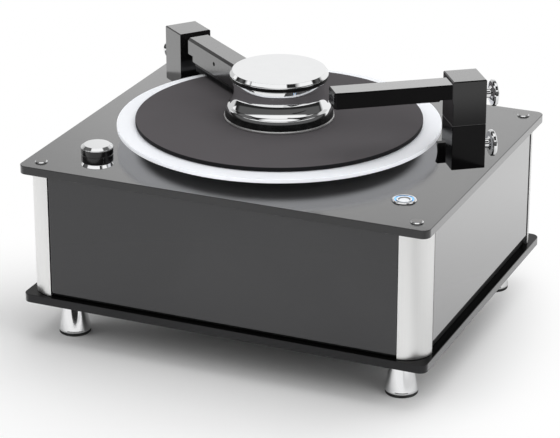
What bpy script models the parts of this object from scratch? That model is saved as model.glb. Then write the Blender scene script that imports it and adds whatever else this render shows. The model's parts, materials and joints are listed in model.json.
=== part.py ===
"""Record cleaning machine: a box housing on cone feet, a turning platter with a mat and a puck,
a brush arm on the left and a suction arm on the right.

Metres, +Z up. The origin lies on the surface that the feet stand on, under the middle of the
bounding box. Heights of the pieces on the top plate are counted from its upper face.
"""
import math
import random

import bmesh
import bpy
from mathutils import Matrix, Vector

# Clearances and finish of the whole machine
seat_gap = 0.0003
running_gap = 0.0004
cut_overrun = 0.003
merge_distance = 0.00001
edge_bevel = 0.0005
fine_steps = 64
puck_steps = 40
plain_steps = 24
small_steps = 16

# The platter carries a 12-inch record, and the plates follow the platter
platter_radius = 0.1525
plate_side_margin = 0.0475
plate_front_margin = 0.0105
plate_width = 2 * (platter_radius + plate_side_margin)
plate_depth = 2 * (platter_radius + plate_front_margin)

# Housing: two plates on corner posts, with four panels between the posts
plate_thickness = 0.008
plate_corner_radius = 0.008
plate_spacing = 0.120
panel_inset = 0.0038
panel_thickness = 0.004
front_recess_height = 0.0038
side_recess_height = 0.0112
front_panel_end_gap = 0.0012
side_panel_end_gap = 0.0045
post_radius = 0.0245
post_notch = 0.010
board_thickness = 0.016

# Screws of the top plate, one into each post
screw_inset = 0.0164
screw_head_radius = 0.0058
screw_head_height = 0.0012
screw_head_chamfer = 0.0008
screw_shank_radius = 0.0025
screw_shank_length = 0.020

# Feet: turned cones with a rubber pad under each and a stud through the bottom plate
foot_inset_x = 0.035
foot_inset_y = 0.0365
foot_height = 0.039
foot_base_radius = 0.01525
foot_top_radius = 0.008
foot_pad_radius = 0.0150
foot_pad_thickness = 0.0027
foot_stud_radius = 0.003
foot_stud_length = 0.018

# Platter, mat, spindle and puck, on one upright axis
platter_offset_x = -0.010
platter_offset_y = 0.002
platter_top = 0.016
platter_thickness = 0.004
platter_rim_round = 0.0008
mat_ring_width = 0.0175
mat_radius = platter_radius - mat_ring_width
mat_thickness = 0.0041
mat_edge_round = 0.0008
pin_radius = 0.0036
pin_height = 0.012
pin_taper = 0.0012
spindle_flange_radius = 0.030
spindle_flange_thickness = 0.006
spindle_shaft_radius = 0.008
spindle_shaft_length = 0.058
bearing_flange_radius = 0.034
bearing_flange_thickness = 0.006
bearing_sleeve_radius = 0.016
bearing_sleeve_length = 0.024
bearing_collar_height = 0.002
motor_radius = 0.030
motor_height = 0.046
motor_shoulder = 0.004
motor_socket_depth = 0.010

# Puck: a turned weight with a waist, over a dark sealing skirt
puck_top_radius = 0.0439
puck_rim_radius = 0.0462
puck_neck_radius = 0.0437
puck_waist_radius = 0.0426
puck_shoulder_radius = 0.0485
puck_flange_radius = 0.0505
puck_body_height = 0.0378
puck_skirt_height = 0.0079
puck_skirt_radius = 0.0512
puck_foot_radius = 0.0519
puck_foot_height = 0.0024
puck_bore_depth = 0.018
puck_rim_shares = (0.0, 0.083, 0.195, 0.215, 0.235)
puck_neck_shares = (0.36, 0.42, 0.52, 0.61, 0.70, 0.77, 0.83)

# Suction tower on the right: a base block and a head block that carries the arm
suction_inset_x = 0.0276
suction_offset_x = plate_width / 2 - suction_inset_x
suction_offset_y = 0.0034
suction_turn = math.radians(36.0)
suction_block_width = 0.0315
suction_block_depth = 0.0336
suction_base_height = 0.0422
suction_head_height = 0.0421
suction_foot_gap = 0.0005
suction_arm_share = 0.7200
suction_arm_length = suction_arm_share * platter_radius
suction_arm_width = 0.0220
suction_arm_drop = 0.0025
suction_arm_height = 0.0139
suction_rail_start = 0.0125
suction_rail_depth = 0.0013
suction_arm_chamfer = 0.0022
suction_lip_height = 0.0020
suction_lip_width = 0.0090
suction_lip_margin = 0.0030
suction_slot_width = 0.0040
suction_slot_depth = 0.0060
suction_wall_end = 0.0060
column_radius = 0.008
column_bore_radius = 0.0055
column_length = 0.052
column_socket_depth = 0.010
lift_tube_radius = 0.0065
lift_tube_bore_radius = 0.0045
lift_tube_in_head = 0.014
bush_flange_radius = 0.0155
bush_flange_thickness = 0.004
bush_sleeve_radius = 0.0125
bush_sleeve_length = 0.022

# Guide piece with a hollowed end, on the inner face of the suction tower's base
guide_reach = 0.0084
guide_bottom = 0.0013
guide_height = 0.0199
guide_thickness = 0.006
guide_setback = 0.0175
guide_hollow = 0.0017

# Thumb screws, alike but for the longer neck of the brush tower's
thumb_disc_radius = 0.0122
thumb_disc_thickness = 0.0046
thumb_neck_radius = 0.0042
suction_neck_length = 0.0090
brush_neck_length = 0.0112
thumb_flare_radius = 0.0064
thumb_flare_length = 0.0014
thumb_stud_radius = 0.0025
thumb_stud_length = 0.007
thumb_edge_round = 0.0012
upper_thumb_height = 0.0663
lower_thumb_height = 0.0178
brush_thumb_height = 0.0256

# Brush tower on the left rear: one block, its arm and the pad under the arm
brush_inset_x = 0.0443
brush_inset_y = 0.0514
brush_offset_x = -plate_width / 2 + brush_inset_x
brush_offset_y = plate_depth / 2 - brush_inset_y
brush_to_platter_x = platter_offset_x - brush_offset_x
brush_to_platter_y = platter_offset_y - brush_offset_y
brush_aside = math.radians(-1.35)
brush_turn = math.atan2(brush_to_platter_y, brush_to_platter_x) + brush_aside
brush_block_width = 0.0333
brush_block_depth = 0.0333
brush_block_height = 0.0551
brush_foot_gap = 0.0005
brush_arm_gap = 0.0035
brush_arm_reach = math.hypot(brush_to_platter_x, brush_to_platter_y) - puck_foot_radius - brush_arm_gap
brush_arm_length = brush_arm_reach - brush_block_width / 2
brush_arm_width = 0.0224
brush_arm_setback = 0.0080
brush_arm_drop = 0.0044
brush_arm_height = 0.0165
brush_rail_start = 0.0100
brush_rail_depth = 0.0058
brush_start = 0.0150
brush_margin = 0.0020
brush_setback = 0.0006
brush_width = 0.0120
brush_backing = 0.0022
brush_clearance = 0.0005
brush_rows = 6
brush_columns = 52
bristle_tip_share = 0.36
bristle_sway_share = 0.26
brush_column_socket = 0.042
brush_column_length = 0.036
arm_screw_radius = 0.0019
arm_screw_length = 0.006
arm_screw_along = 0.0564
arm_screw_drop = 0.0104

# Rotary knob at the front left
knob_inset_x = 0.0662
knob_inset_y = 0.0322
knob_offset_x = -plate_width / 2 + knob_inset_x
knob_offset_y = -plate_depth / 2 + knob_inset_y
knob_radius = 0.01487
knob_base_radius = 0.0149
knob_base_height = 0.0029
knob_grip_height = 0.0131
knob_grip_chamfer = 0.0008
knob_groove_height = 0.0075
knob_groove_width = 0.0006
knob_groove_depth = 0.0004
knob_cap_height = 0.0028
knob_cap_bevel = 0.0029
knob_spindle_radius = 0.003
knob_spindle_length = 0.018
knob_pointer_width = 0.0009
knob_pointer_depth = 0.0005
knob_pointer_turn = math.radians(-38.0)
switch_body_size = 0.026
switch_body_height = 0.016
switch_socket_depth = 0.006

# Push button at the front right
button_inset_x = 0.0446
button_inset_y = 0.0599
button_offset_x = plate_width / 2 - button_inset_x
button_offset_y = -plate_depth / 2 + button_inset_y
bezel_radius = 0.0111
bezel_height = 0.0015
bezel_bore_radius = 0.0090
bezel_barrel_radius = 0.0101
bezel_barrel_length = 0.0135
bezel_edge_round = 0.0009
light_ring_inner_radius = 0.0078
light_ring_drop = 0.0007
light_ring_height = 0.0040
button_cap_radius = 0.0073
button_cap_rise = 0.0005
button_cap_thickness = 0.0035
button_stem_radius = 0.0022
button_stem_length = 0.0150
button_travel = 0.0015
button_switch_radius = 0.0092
button_switch_height = 0.014

# Works inside the housing
tank_width = 0.120
tank_height = 0.044
tank_inset_x = 0.130
tank_rear_inset = 0.0355
tank_motor_gap = 0.0105
tank_front = platter_offset_y + motor_radius + tank_motor_gap
tank_rear = plate_depth / 2 - tank_rear_inset
tank_depth = tank_rear - tank_front
tank_offset_x = -plate_width / 2 + tank_inset_x
tank_offset_y = (tank_front + tank_rear) / 2
tank_round = 0.006
spigot_radius = 0.0075
spigot_height = 0.010
spigot_offset_x = 0.045
pump_radius = 0.034
pump_height = 0.038
pump_offset_x = -0.018
pump_shoulder = 0.006
supply_width = 0.115
supply_depth = 0.060
supply_height = 0.038
supply_inset_x = 0.115
supply_inset_y = 0.078
supply_offset_x = -plate_width / 2 + supply_inset_x
supply_offset_y = -plate_depth / 2 + supply_inset_y
supply_round = 0.002
hose_radius = 0.005
hose_steps = 4
inlet_inset_x = 0.085
inlet_offset_x = plate_width / 2 - inlet_inset_x
inlet_height = 0.050
inlet_flange_width = 0.048
inlet_flange_height = 0.029
inlet_flange_thickness = 0.0022
inlet_body_width = 0.030
inlet_body_height = 0.022
inlet_body_depth = 0.026
inlet_socket_width = 0.0245
inlet_socket_height = 0.0165
inlet_socket_depth = 0.016

# Heights that follow from the sizes above
bottom_plate_low = foot_height
bottom_plate_top = foot_height + plate_thickness
top_plate_low = bottom_plate_top + plate_spacing
deck = top_plate_low + plate_thickness
platter_low = platter_top - platter_thickness
mat_low = platter_top + seat_gap
mat_top = mat_low + mat_thickness
spindle_flange_top = platter_low - seat_gap


def thumb_profile(neck_length):
    """Radius and distance along the axis of a thumb screw, from its outer face to its tip."""
    outer = neck_length + thumb_disc_thickness
    return [
        (0, outer),
        (thumb_disc_radius - thumb_edge_round, outer),
        (thumb_disc_radius, outer - thumb_edge_round),
        (thumb_disc_radius, neck_length + thumb_edge_round),
        (thumb_disc_radius - thumb_edge_round, neck_length),
        (thumb_flare_radius, neck_length),
        (thumb_neck_radius, neck_length - thumb_flare_length),
        (thumb_neck_radius, seat_gap),
        (thumb_stud_radius, seat_gap),
        (thumb_stud_radius, -thumb_stud_length),
        (0, -thumb_stud_length),
    ]


def right_reach():
    """How far the suction tower's thumb screws reach to +X from the middle of the plates."""
    out = suction_block_width / 2
    along, across = math.cos(suction_turn), math.sin(suction_turn)
    screw = thumb_profile(suction_neck_length)
    return suction_offset_x + max(along * (out + s) + across * r for r, s in screw)


plate_offset_x = -max(0, right_reach() - plate_width / 2) / 2


# Scene, collections and materials
for old in list(bpy.data.objects):
    bpy.data.objects.remove(old, do_unlink=True)

parts = bpy.data.collections.new("record_cleaning_machine")
cutters = bpy.data.collections.new("cutters")
bpy.context.scene.collection.children.link(parts)
bpy.context.scene.collection.children.link(cutters)


def material(name, colour, roughness, metallic=0, glow=0):
    made = bpy.data.materials.new(name)
    made.use_nodes = True
    shader = made.node_tree.nodes["Principled BSDF"]
    shader.inputs["Base Color"].default_value = (*colour, 1)
    shader.inputs["Roughness"].default_value = roughness
    shader.inputs["Metallic"].default_value = metallic
    if glow:
        shader.inputs["Emission Color"].default_value = (*colour, 1)
        shader.inputs["Emission Strength"].default_value = glow
    return made


gloss_acrylic = material("gloss_acrylic", (0.045, 0.045, 0.048), 0.12)
black_board = material("black_board", (0.012, 0.012, 0.012), 0.6)
satin_aluminium = material("satin_aluminium", (0.80, 0.80, 0.78), 0.32, 1)
polished_chrome = material("polished_chrome", (0.86, 0.86, 0.87), 0.07, 1)
black_anodised = material("black_anodised", (0.020, 0.020, 0.021), 0.30)
pale_acrylic = material("pale_acrylic", (0.82, 0.85, 0.90), 0.30)
dark_mat = material("dark_mat", (0.095, 0.088, 0.092), 0.80)
black_rubber = material("black_rubber", (0.015, 0.015, 0.015), 0.70)
black_velvet = material("black_velvet", (0.010, 0.010, 0.011), 0.95)
black_bristle = material("black_bristle", (0.012, 0.012, 0.013), 0.55)
steel = material("steel", (0.62, 0.62, 0.63), 0.30, 1)
blue_light = material("blue_light", (0.25, 0.60, 1.00), 0.30, 0, 1.5)
pale_button = material("pale_button", (0.80, 0.83, 0.86), 0.25)
grey_polymer = material("grey_polymer", (0.20, 0.20, 0.21), 0.55)
tank_polymer = material("tank_polymer", (0.70, 0.72, 0.72), 0.50)
hose_rubber = material("hose_rubber", (0.10, 0.10, 0.11), 0.60)


def empty(name, location, turn=0, parent=None):
    made = bpy.data.objects.new(name, None)
    bpy.context.scene.collection.objects.link(made)
    made.location = location
    made.rotation_euler = (0, 0, turn)
    made.parent = parent
    return made


def place(piece, finish, location, rotation, parent):
    """Links a piece, or a cutter where it has no finish, and puts it in its parent's frame."""
    if finish:
        piece.data.materials.append(finish)
        parts.objects.link(piece)
    else:
        cutters.objects.link(piece)
        piece.display_type = "WIRE"
        piece.hide_render = True
    piece.location = location
    piece.rotation_euler = rotation
    piece.parent = parent
    return piece


def turned(name, profile, finish, location, parent, rotation=(0, 0, 0), steps=plain_steps, ring=False):
    """A piece turned about its own Z; the profile is radius and height, down the outer side."""
    mesh = bpy.data.meshes.new(name)
    edges = [(i, i + 1) for i in range(len(profile) - 1)]
    if ring:
        edges.append((len(profile) - 1, 0))
    mesh.from_pydata([(r, 0, z) for r, z in profile], edges, [])
    piece = place(bpy.data.objects.new(name, mesh), finish, location, rotation, parent)
    screw = piece.modifiers.new("turn", "SCREW")
    screw.axis = "Z"
    screw.steps = steps
    screw.render_steps = steps
    screw.use_merge_vertices = True
    screw.merge_threshold = merge_distance
    screw.use_smooth_shade = True
    return piece


def cylinder(name, radius, low, high, finish, location, parent, rotation=(0, 0, 0), steps=plain_steps):
    profile = [(0, high), (radius, high), (radius, low), (0, low)]
    return turned(name, profile, finish, location, parent, rotation, steps)


def tube(name, radius, bore, low, high, finish, parent):
    profile = [(bore, high), (radius, high), (radius, low), (bore, low)]
    return turned(name, profile, finish, (0, 0, 0), parent, ring=True)


def box(name, size, finish, centre, parent, bevel=0, segments=2, rotation=(0, 0, 0)):
    mesh = bpy.data.meshes.new(name)
    work = bmesh.new()
    bmesh.ops.create_cube(work, size=1, matrix=Matrix.Diagonal((*size, 1)))
    work.to_mesh(mesh)
    work.free()
    piece = place(bpy.data.objects.new(name, mesh), finish, centre, rotation, parent)
    if bevel:
        round_edges(piece, bevel, segments)
    return piece


def round_edges(piece, width, segments=2):
    rounding = piece.modifiers.new("edges", "BEVEL")
    rounding.width = width
    rounding.segments = segments
    rounding.limit_method = "ANGLE"
    rounding.angle_limit = math.radians(40)


def outline(name, points, thickness, finish, location, parent, rotation=(0, 0, 0)):
    """A flat piece from an outline in its own XY plane, as thick along Z, about that plane."""
    curve = bpy.data.curves.new(name + "_outline", "CURVE")
    curve.dimensions = "2D"
    curve.fill_mode = "BOTH"
    curve.extrude = thickness / 2
    spline = curve.splines.new("POLY")
    spline.points.add(len(points) - 1)
    for point, (x, y) in zip(spline.points, points):
        point.co = (x, y, 0, 1)
    spline.use_cyclic_u = True
    return as_mesh(name, curve, finish, location, parent, rotation)


def as_mesh(name, curve, finish, location, parent, rotation=(0, 0, 0)):
    """Turns a curve's caps and sides into one closed mesh."""
    source = bpy.data.objects.new(name + "_curve", curve)
    bpy.context.scene.collection.objects.link(source)
    bpy.context.view_layer.update()
    evaluated = source.evaluated_get(bpy.context.evaluated_depsgraph_get())
    mesh = bpy.data.meshes.new_from_object(evaluated)
    mesh.name = name
    bpy.data.objects.remove(source, do_unlink=True)
    work = bmesh.new()
    work.from_mesh(mesh)
    bmesh.ops.remove_doubles(work, verts=work.verts, dist=merge_distance)
    bmesh.ops.recalc_face_normals(work, faces=work.faces)
    work.to_mesh(mesh)
    work.free()
    return place(bpy.data.objects.new(name, mesh), finish, location, rotation, parent)


def cut(piece, cutter, operation="DIFFERENCE"):
    change = piece.modifiers.new("cut", "BOOLEAN")
    change.operation = operation
    change.object = cutter
    change.solver = "EXACT"


def drill(piece, name, radius, low, high, location, parent, rotation=(0, 0, 0), steps=small_steps):
    """A round hole between two heights on the location's own axis."""
    cut(piece, cylinder(name, radius, low, high, None, location, parent, rotation, steps))


def arc(centre_x, centre_y, radius, start, end, count):
    """Points along an arc, both ends included."""
    turns = [start + (end - start) * i / count for i in range(count + 1)]
    return [(centre_x + radius * math.cos(t), centre_y + radius * math.sin(t)) for t in turns]


def rounded_rectangle(width, depth, radius, count=8):
    points = []
    quarter = math.pi / 2
    for i, (sx, sy) in enumerate(((1, 1), (-1, 1), (-1, -1), (1, -1))):
        x = sx * (width / 2 - radius)
        y = sy * (depth / 2 - radius)
        points += arc(x, y, radius, i * quarter, (i + 1) * quarter, count)
    return points


corners = {
    "front_left": (-1, -1),
    "front_right": (1, -1),
    "rear_left": (-1, 1),
    "rear_right": (1, 1),
}
machine = empty("machine", (plate_offset_x, 0, 0))
deck_frame = empty("deck_frame", (0, 0, deck), parent=machine)
platter_axis = empty("platter_axis", (platter_offset_x, platter_offset_y, 0), parent=deck_frame)
suction_axis = empty("suction_axis", (suction_offset_x, suction_offset_y, 0), suction_turn, deck_frame)
brush_axis = empty("brush_axis", (brush_offset_x, brush_offset_y, 0), brush_turn, deck_frame)
knob_axis = empty("knob_axis", (knob_offset_x, knob_offset_y, 0), parent=deck_frame)
button_axis = empty("button_axis", (button_offset_x, button_offset_y, 0), parent=deck_frame)


def corner_place(corner, inset_x, inset_y):
    sx, sy = corners[corner]
    return sx * (plate_width / 2 - inset_x), sy * (plate_depth / 2 - inset_y)


def build_plates():
    shape = rounded_rectangle(plate_width, plate_depth, plate_corner_radius)
    middle = bottom_plate_low + plate_thickness / 2
    bottom = outline("bottom_plate", shape, plate_thickness, gloss_acrylic, (0, 0, middle), machine)
    for corner in corners:
        x, y = corner_place(corner, foot_inset_x, foot_inset_y)
        low = bottom_plate_low - cut_overrun
        high = bottom_plate_top + cut_overrun
        radius = foot_stud_radius + seat_gap
        drill(bottom, f"{corner}_stud_hole", radius, low, high, (x, y, 0), machine)
    low = -plate_thickness - cut_overrun
    middle = -plate_thickness / 2
    top = outline("top_plate", shape, plate_thickness, gloss_acrylic, (0, 0, middle), deck_frame)
    for corner in corners:
        x, y = corner_place(corner, screw_inset, screw_inset)
        radius = screw_shank_radius + seat_gap
        drill(top, f"{corner}_screw_hole", radius, low, cut_overrun, (x, y, 0), deck_frame)
    holes = {
        "spindle_hole": (platter_axis, bearing_sleeve_radius + seat_gap),
        "suction_column_hole": (suction_axis, bush_sleeve_radius + seat_gap),
        "brush_column_hole": (brush_axis, bush_sleeve_radius + seat_gap),
        "knob_hole": (knob_axis, knob_spindle_radius + running_gap),
        "button_hole": (button_axis, bezel_barrel_radius + seat_gap),
    }
    for name, (axis, radius) in holes.items():
        drill(top, name, radius, low, cut_overrun, (0, 0, 0), axis, steps=plain_steps)
    return bottom, top


def build_posts():
    """Quarter-round posts, notched at their inner corner, with a screw hole down from the top."""
    height = plate_spacing - 2 * seat_gap
    middle = bottom_plate_top + plate_spacing / 2
    quarter = math.pi / 2
    for turn, corner in enumerate(("rear_right", "rear_left", "front_left", "front_right")):
        shape = arc(0, 0, post_radius, 0, quarter, 20)
        shape += [(0, post_notch), (post_notch, post_notch), (post_notch, 0)]
        x, y = corner_place(corner, panel_inset + post_radius, panel_inset + post_radius)
        rotation = (0, 0, turn * quarter)
        post = outline(f"{corner}_post", shape, height, satin_aluminium, (x, y, middle), machine, rotation)
        x, y = corner_place(corner, screw_inset, screw_inset)
        low = top_plate_low - screw_shank_length
        high = top_plate_low + cut_overrun
        radius = screw_shank_radius + seat_gap
        drill(post, f"{corner}_post_hole", radius, low, high, (x, y, 0), machine)


def build_panels():
    """Gloss panels between the posts, each with its lower edge above a dark recess.

    Each panel meets one post closely and leaves a dark joint at its other end.
    """
    high = top_plate_low - seat_gap
    width_between = plate_width - 2 * (panel_inset + post_radius)
    depth_between = plate_depth - 2 * (panel_inset + post_radius)
    front_length = width_between - seat_gap - front_panel_end_gap
    side_length = depth_between - seat_gap - side_panel_end_gap
    made = {}
    for name, sign in (("front_panel", -1), ("rear_panel", 1)):
        height = high - bottom_plate_top - front_recess_height
        y = sign * (plate_depth / 2 - panel_inset - panel_thickness / 2)
        centre = ((front_panel_end_gap - seat_gap) / 2, y, high - height / 2)
        size = (front_length, panel_thickness, height)
        made[name] = box(name, size, gloss_acrylic, centre, machine, edge_bevel)
    for name, sign in (("left_panel", -1), ("right_panel", 1)):
        height = high - bottom_plate_top - side_recess_height
        x = sign * (plate_width / 2 - panel_inset - panel_thickness / 2)
        centre = (x, (seat_gap - side_panel_end_gap) / 2, high - height / 2)
        size = (panel_thickness, side_length, height)
        made[name] = box(name, size, gloss_acrylic, centre, machine, edge_bevel)
    width = inlet_body_width + 2 * seat_gap
    height = inlet_body_height + 2 * seat_gap
    depth = panel_thickness + 2 * cut_overrun
    y = plate_depth / 2 - panel_inset - panel_thickness / 2
    centre = (inlet_offset_x, y, bottom_plate_top + inlet_height)
    cut(made["rear_panel"], box("inlet_window", (width, depth, height), None, centre, machine))


def build_base_board():
    """A thick black board on the bottom plate, seen under the panels, that carries the works."""
    inset = panel_inset + panel_thickness + seat_gap
    middle = bottom_plate_top + seat_gap + board_thickness / 2
    size = (plate_width - 2 * inset, plate_depth - 2 * inset, board_thickness)
    board = box("base_board", size, black_board, (0, 0, middle), machine)
    notch = panel_inset + post_radius + 2 * seat_gap
    tall = board_thickness + 2 * cut_overrun
    for corner in corners:
        x, y = corner_place(corner, notch / 2, notch / 2)
        cut(board, box(f"{corner}_notch", (notch, notch, tall), None, (x, y, middle), machine))
        x, y = corner_place(corner, foot_inset_x, foot_inset_y)
        low = bottom_plate_top - cut_overrun
        high = foot_height + foot_stud_length + seat_gap
        radius = foot_stud_radius + seat_gap
        drill(board, f"{corner}_board_hole", radius, low, high, (x, y, 0), machine)


def build_plate_screws():
    """Low plain round heads, each on a shank down into its post."""
    for corner in corners:
        x, y = corner_place(corner, screw_inset, screw_inset)
        top = seat_gap + screw_head_height
        profile = [
            (0, top),
            (screw_head_radius - screw_head_chamfer, top),
            (screw_head_radius, top - screw_head_chamfer),
            (screw_head_radius, seat_gap),
            (screw_shank_radius, seat_gap),
            (screw_shank_radius, -plate_thickness - screw_shank_length + cut_overrun),
            (0, -plate_thickness - screw_shank_length + cut_overrun),
        ]
        turned(f"{corner}_screw", profile, steel, (x, y, 0), deck_frame, steps=small_steps)


def build_feet():
    """Chrome cones on rubber pads, each with a stud up through the bottom plate."""
    for corner in corners:
        x, y = corner_place(corner, foot_inset_x, foot_inset_y)
        top = foot_height - seat_gap
        low = foot_pad_thickness + seat_gap
        stud_top = foot_height + foot_stud_length
        profile = [
            (0, stud_top),
            (foot_stud_radius, stud_top),
            (foot_stud_radius, top),
            (foot_top_radius, top),
            (foot_base_radius, low + edge_bevel),
            (foot_base_radius - edge_bevel, low),
            (0, low),
        ]
        turned(f"{corner}_foot", profile, polished_chrome, (x, y, 0), machine, steps=plain_steps)
        pad = [
            (0, foot_pad_thickness),
            (foot_pad_radius, foot_pad_thickness),
            (foot_pad_radius, edge_bevel),
            (foot_pad_radius - edge_bevel, 0),
            (0, 0),
        ]
        turned(f"{corner}_foot_pad", pad, black_rubber, (x, y, 0), machine, steps=plain_steps)


def build_platter():
    hole = pin_radius + seat_gap
    edge = platter_rim_round
    profile = [
        (hole, platter_top),
        (platter_radius - edge, platter_top),
        (platter_radius, platter_top - edge),
        (platter_radius, platter_low + edge),
        (platter_radius - edge, platter_low),
        (hole, platter_low),
    ]
    turned("platter", profile, pale_acrylic, (0, 0, 0), platter_axis, steps=fine_steps, ring=True)
    edge = mat_edge_round
    profile = [
        (hole, mat_top),
        (mat_radius - edge, mat_top),
        (mat_radius, mat_top - edge),
        (mat_radius, mat_low),
        (hole, mat_low),
    ]
    turned("platter_mat", profile, dark_mat, (0, 0, 0), platter_axis, steps=fine_steps, ring=True)


def build_spindle():
    """The record pin, the flange under the platter and the shaft down into the motor, in one."""
    pin_top = mat_top + pin_height
    flange_low = spindle_flange_top - spindle_flange_thickness
    shaft_end = -spindle_shaft_length
    profile = [
        (0, pin_top),
        (pin_radius - pin_taper, pin_top),
        (pin_radius, pin_top - 2 * pin_taper),
        (pin_radius, spindle_flange_top),
        (spindle_flange_radius, spindle_flange_top),
        (spindle_flange_radius, flange_low),
        (spindle_shaft_radius, flange_low),
        (spindle_shaft_radius, shaft_end),
        (0, shaft_end),
    ]
    turned("spindle", profile, steel, (0, 0, 0), platter_axis)

    bore = spindle_shaft_radius + running_gap
    flange_top = -plate_thickness - seat_gap
    sleeve_low = flange_top - bearing_flange_thickness - bearing_sleeve_length
    profile = [
        (bore, bearing_collar_height),
        (bearing_sleeve_radius, bearing_collar_height),
        (bearing_sleeve_radius, flange_top),
        (bearing_flange_radius, flange_top),
        (bearing_flange_radius, flange_top - bearing_flange_thickness),
        (bearing_sleeve_radius, flange_top - bearing_flange_thickness),
        (bearing_sleeve_radius, sleeve_low),
        (bore, sleeve_low),
    ]
    turned("bearing_housing", profile, steel, (0, 0, 0), platter_axis, steps=small_steps, ring=True)

    motor_top = sleeve_low - seat_gap
    socket = spindle_shaft_radius + running_gap
    socket_low = shaft_end - running_gap
    motor_low = motor_top - motor_height
    profile = [
        (socket, motor_top),
        (bearing_sleeve_radius, motor_top),
        (motor_radius, motor_top - motor_shoulder),
        (motor_radius, motor_low + motor_shoulder),
        (motor_radius - motor_shoulder, motor_low),
        (0, motor_low),
        (0, socket_low),
        (socket, socket_low),
    ]
    turned("platter_motor", profile, grey_polymer, (0, 0, 0), platter_axis, steps=small_steps, ring=True)


def build_puck():
    """A turned chrome weight: a flat top, a bevelled rim, a waist and a steep flange over its seal."""
    skirt_low = mat_top + seat_gap
    skirt_top = skirt_low + puck_skirt_height
    low = skirt_top + seat_gap
    top = low + puck_body_height
    rim_radii = (
        puck_top_radius,
        puck_rim_radius,
        puck_rim_radius,
        (puck_rim_radius + puck_neck_radius) / 2,
        puck_neck_radius,
    )
    profile = [(0, top)]
    for radius, share in zip(rim_radii, puck_rim_shares):
        profile.append((radius, top - share * puck_body_height))
    first, last = puck_neck_shares[0], puck_neck_shares[-1]
    for share in puck_neck_shares:
        part = (share - first) / (last - first)
        radius = puck_waist_radius + (puck_shoulder_radius - puck_waist_radius) * part ** 2
        profile.append((radius, top - share * puck_body_height))
    bore = pin_radius + seat_gap
    bore_top = mat_top + puck_bore_depth
    profile += [(puck_flange_radius, low), (bore, low), (bore, bore_top), (0, bore_top)]
    turned("record_puck", profile, polished_chrome, (0, 0, 0), platter_axis, steps=puck_steps)

    profile = [
        (bore, skirt_top),
        (puck_flange_radius, skirt_top),
        (puck_skirt_radius, skirt_low + puck_foot_height),
        (puck_foot_radius, skirt_low + puck_foot_height / 2),
        (puck_foot_radius, skirt_low),
        (bore, skirt_low),
    ]
    turned("puck_seal", profile, black_rubber, (0, 0, 0), platter_axis, steps=puck_steps, ring=True)


def build_bush(name, axis):
    """A flanged bush that guides a column through the top plate."""
    bore = column_radius + running_gap
    flange_top = -plate_thickness - seat_gap
    flange_low = flange_top - bush_flange_thickness
    profile = [
        (bore, 0),
        (bush_sleeve_radius, 0),
        (bush_sleeve_radius, flange_top),
        (bush_flange_radius, flange_top),
        (bush_flange_radius, flange_low),
        (bush_sleeve_radius, flange_low),
        (bush_sleeve_radius, flange_low - bush_sleeve_length),
        (bore, flange_low - bush_sleeve_length),
    ]
    turned(name, profile, steel, (0, 0, 0), axis, steps=small_steps, ring=True)


def build_thumb_screw(name, axis, block, out, height, turn, neck_length):
    """A thumb screw on the outer face of a block, with a stud in the block's side."""
    rotation = (0, turn, 0)
    turned(name, thumb_profile(neck_length), polished_chrome, (out, 0, height), axis, rotation)
    radius = thumb_stud_radius + running_gap
    depth = thumb_stud_length + running_gap
    drill(block, name + "_hole", radius, -depth, cut_overrun, (out, 0, height), axis, rotation)


def build_suction_tower():
    """Two blocks on a hollow column; the upper one lifts on a tube and carries the arm."""
    low = suction_foot_gap
    seam = low + suction_base_height
    size = (suction_block_width, suction_block_depth, suction_base_height)
    centre = (0, 0, low + suction_base_height / 2)
    base = box("suction_tower_base", size, black_anodised, centre, suction_axis, edge_bevel)
    head_low = seam + seat_gap
    head_top = head_low + suction_head_height
    size = (suction_block_width, suction_block_depth, suction_head_height)
    centre = (0, 0, head_low + suction_head_height / 2)
    head = box("suction_tower_head", size, black_anodised, centre, suction_axis, edge_bevel)

    socket_top = low + column_socket_depth
    tube_top = head_low + lift_tube_in_head
    holes = (
        (base, "column_socket", column_radius + seat_gap, low - cut_overrun, socket_top),
        (base, "tube_bore", lift_tube_radius + running_gap, low, seam + cut_overrun),
        (head, "tube_socket", lift_tube_radius + seat_gap, head_low - cut_overrun, tube_top + seat_gap),
    )
    for block, name, radius, start, end in holes:
        drill(block, name, radius, start, end, (0, 0, 0), suction_axis, steps=plain_steps)
    end = socket_top - seat_gap
    tube("suction_column", column_radius, column_bore_radius, -column_length, end, steel, suction_axis)
    tube("lift_tube", lift_tube_radius, lift_tube_bore_radius, socket_top, tube_top, steel, suction_axis)

    out = suction_block_width / 2
    screws = (("upper_thumb_screw", head, upper_thumb_height), ("lower_thumb_screw", base, lower_thumb_height))
    for name, block, height in screws:
        build_thumb_screw(name, suction_axis, block, out, height, math.pi / 2, suction_neck_length)
    return head_top


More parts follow.
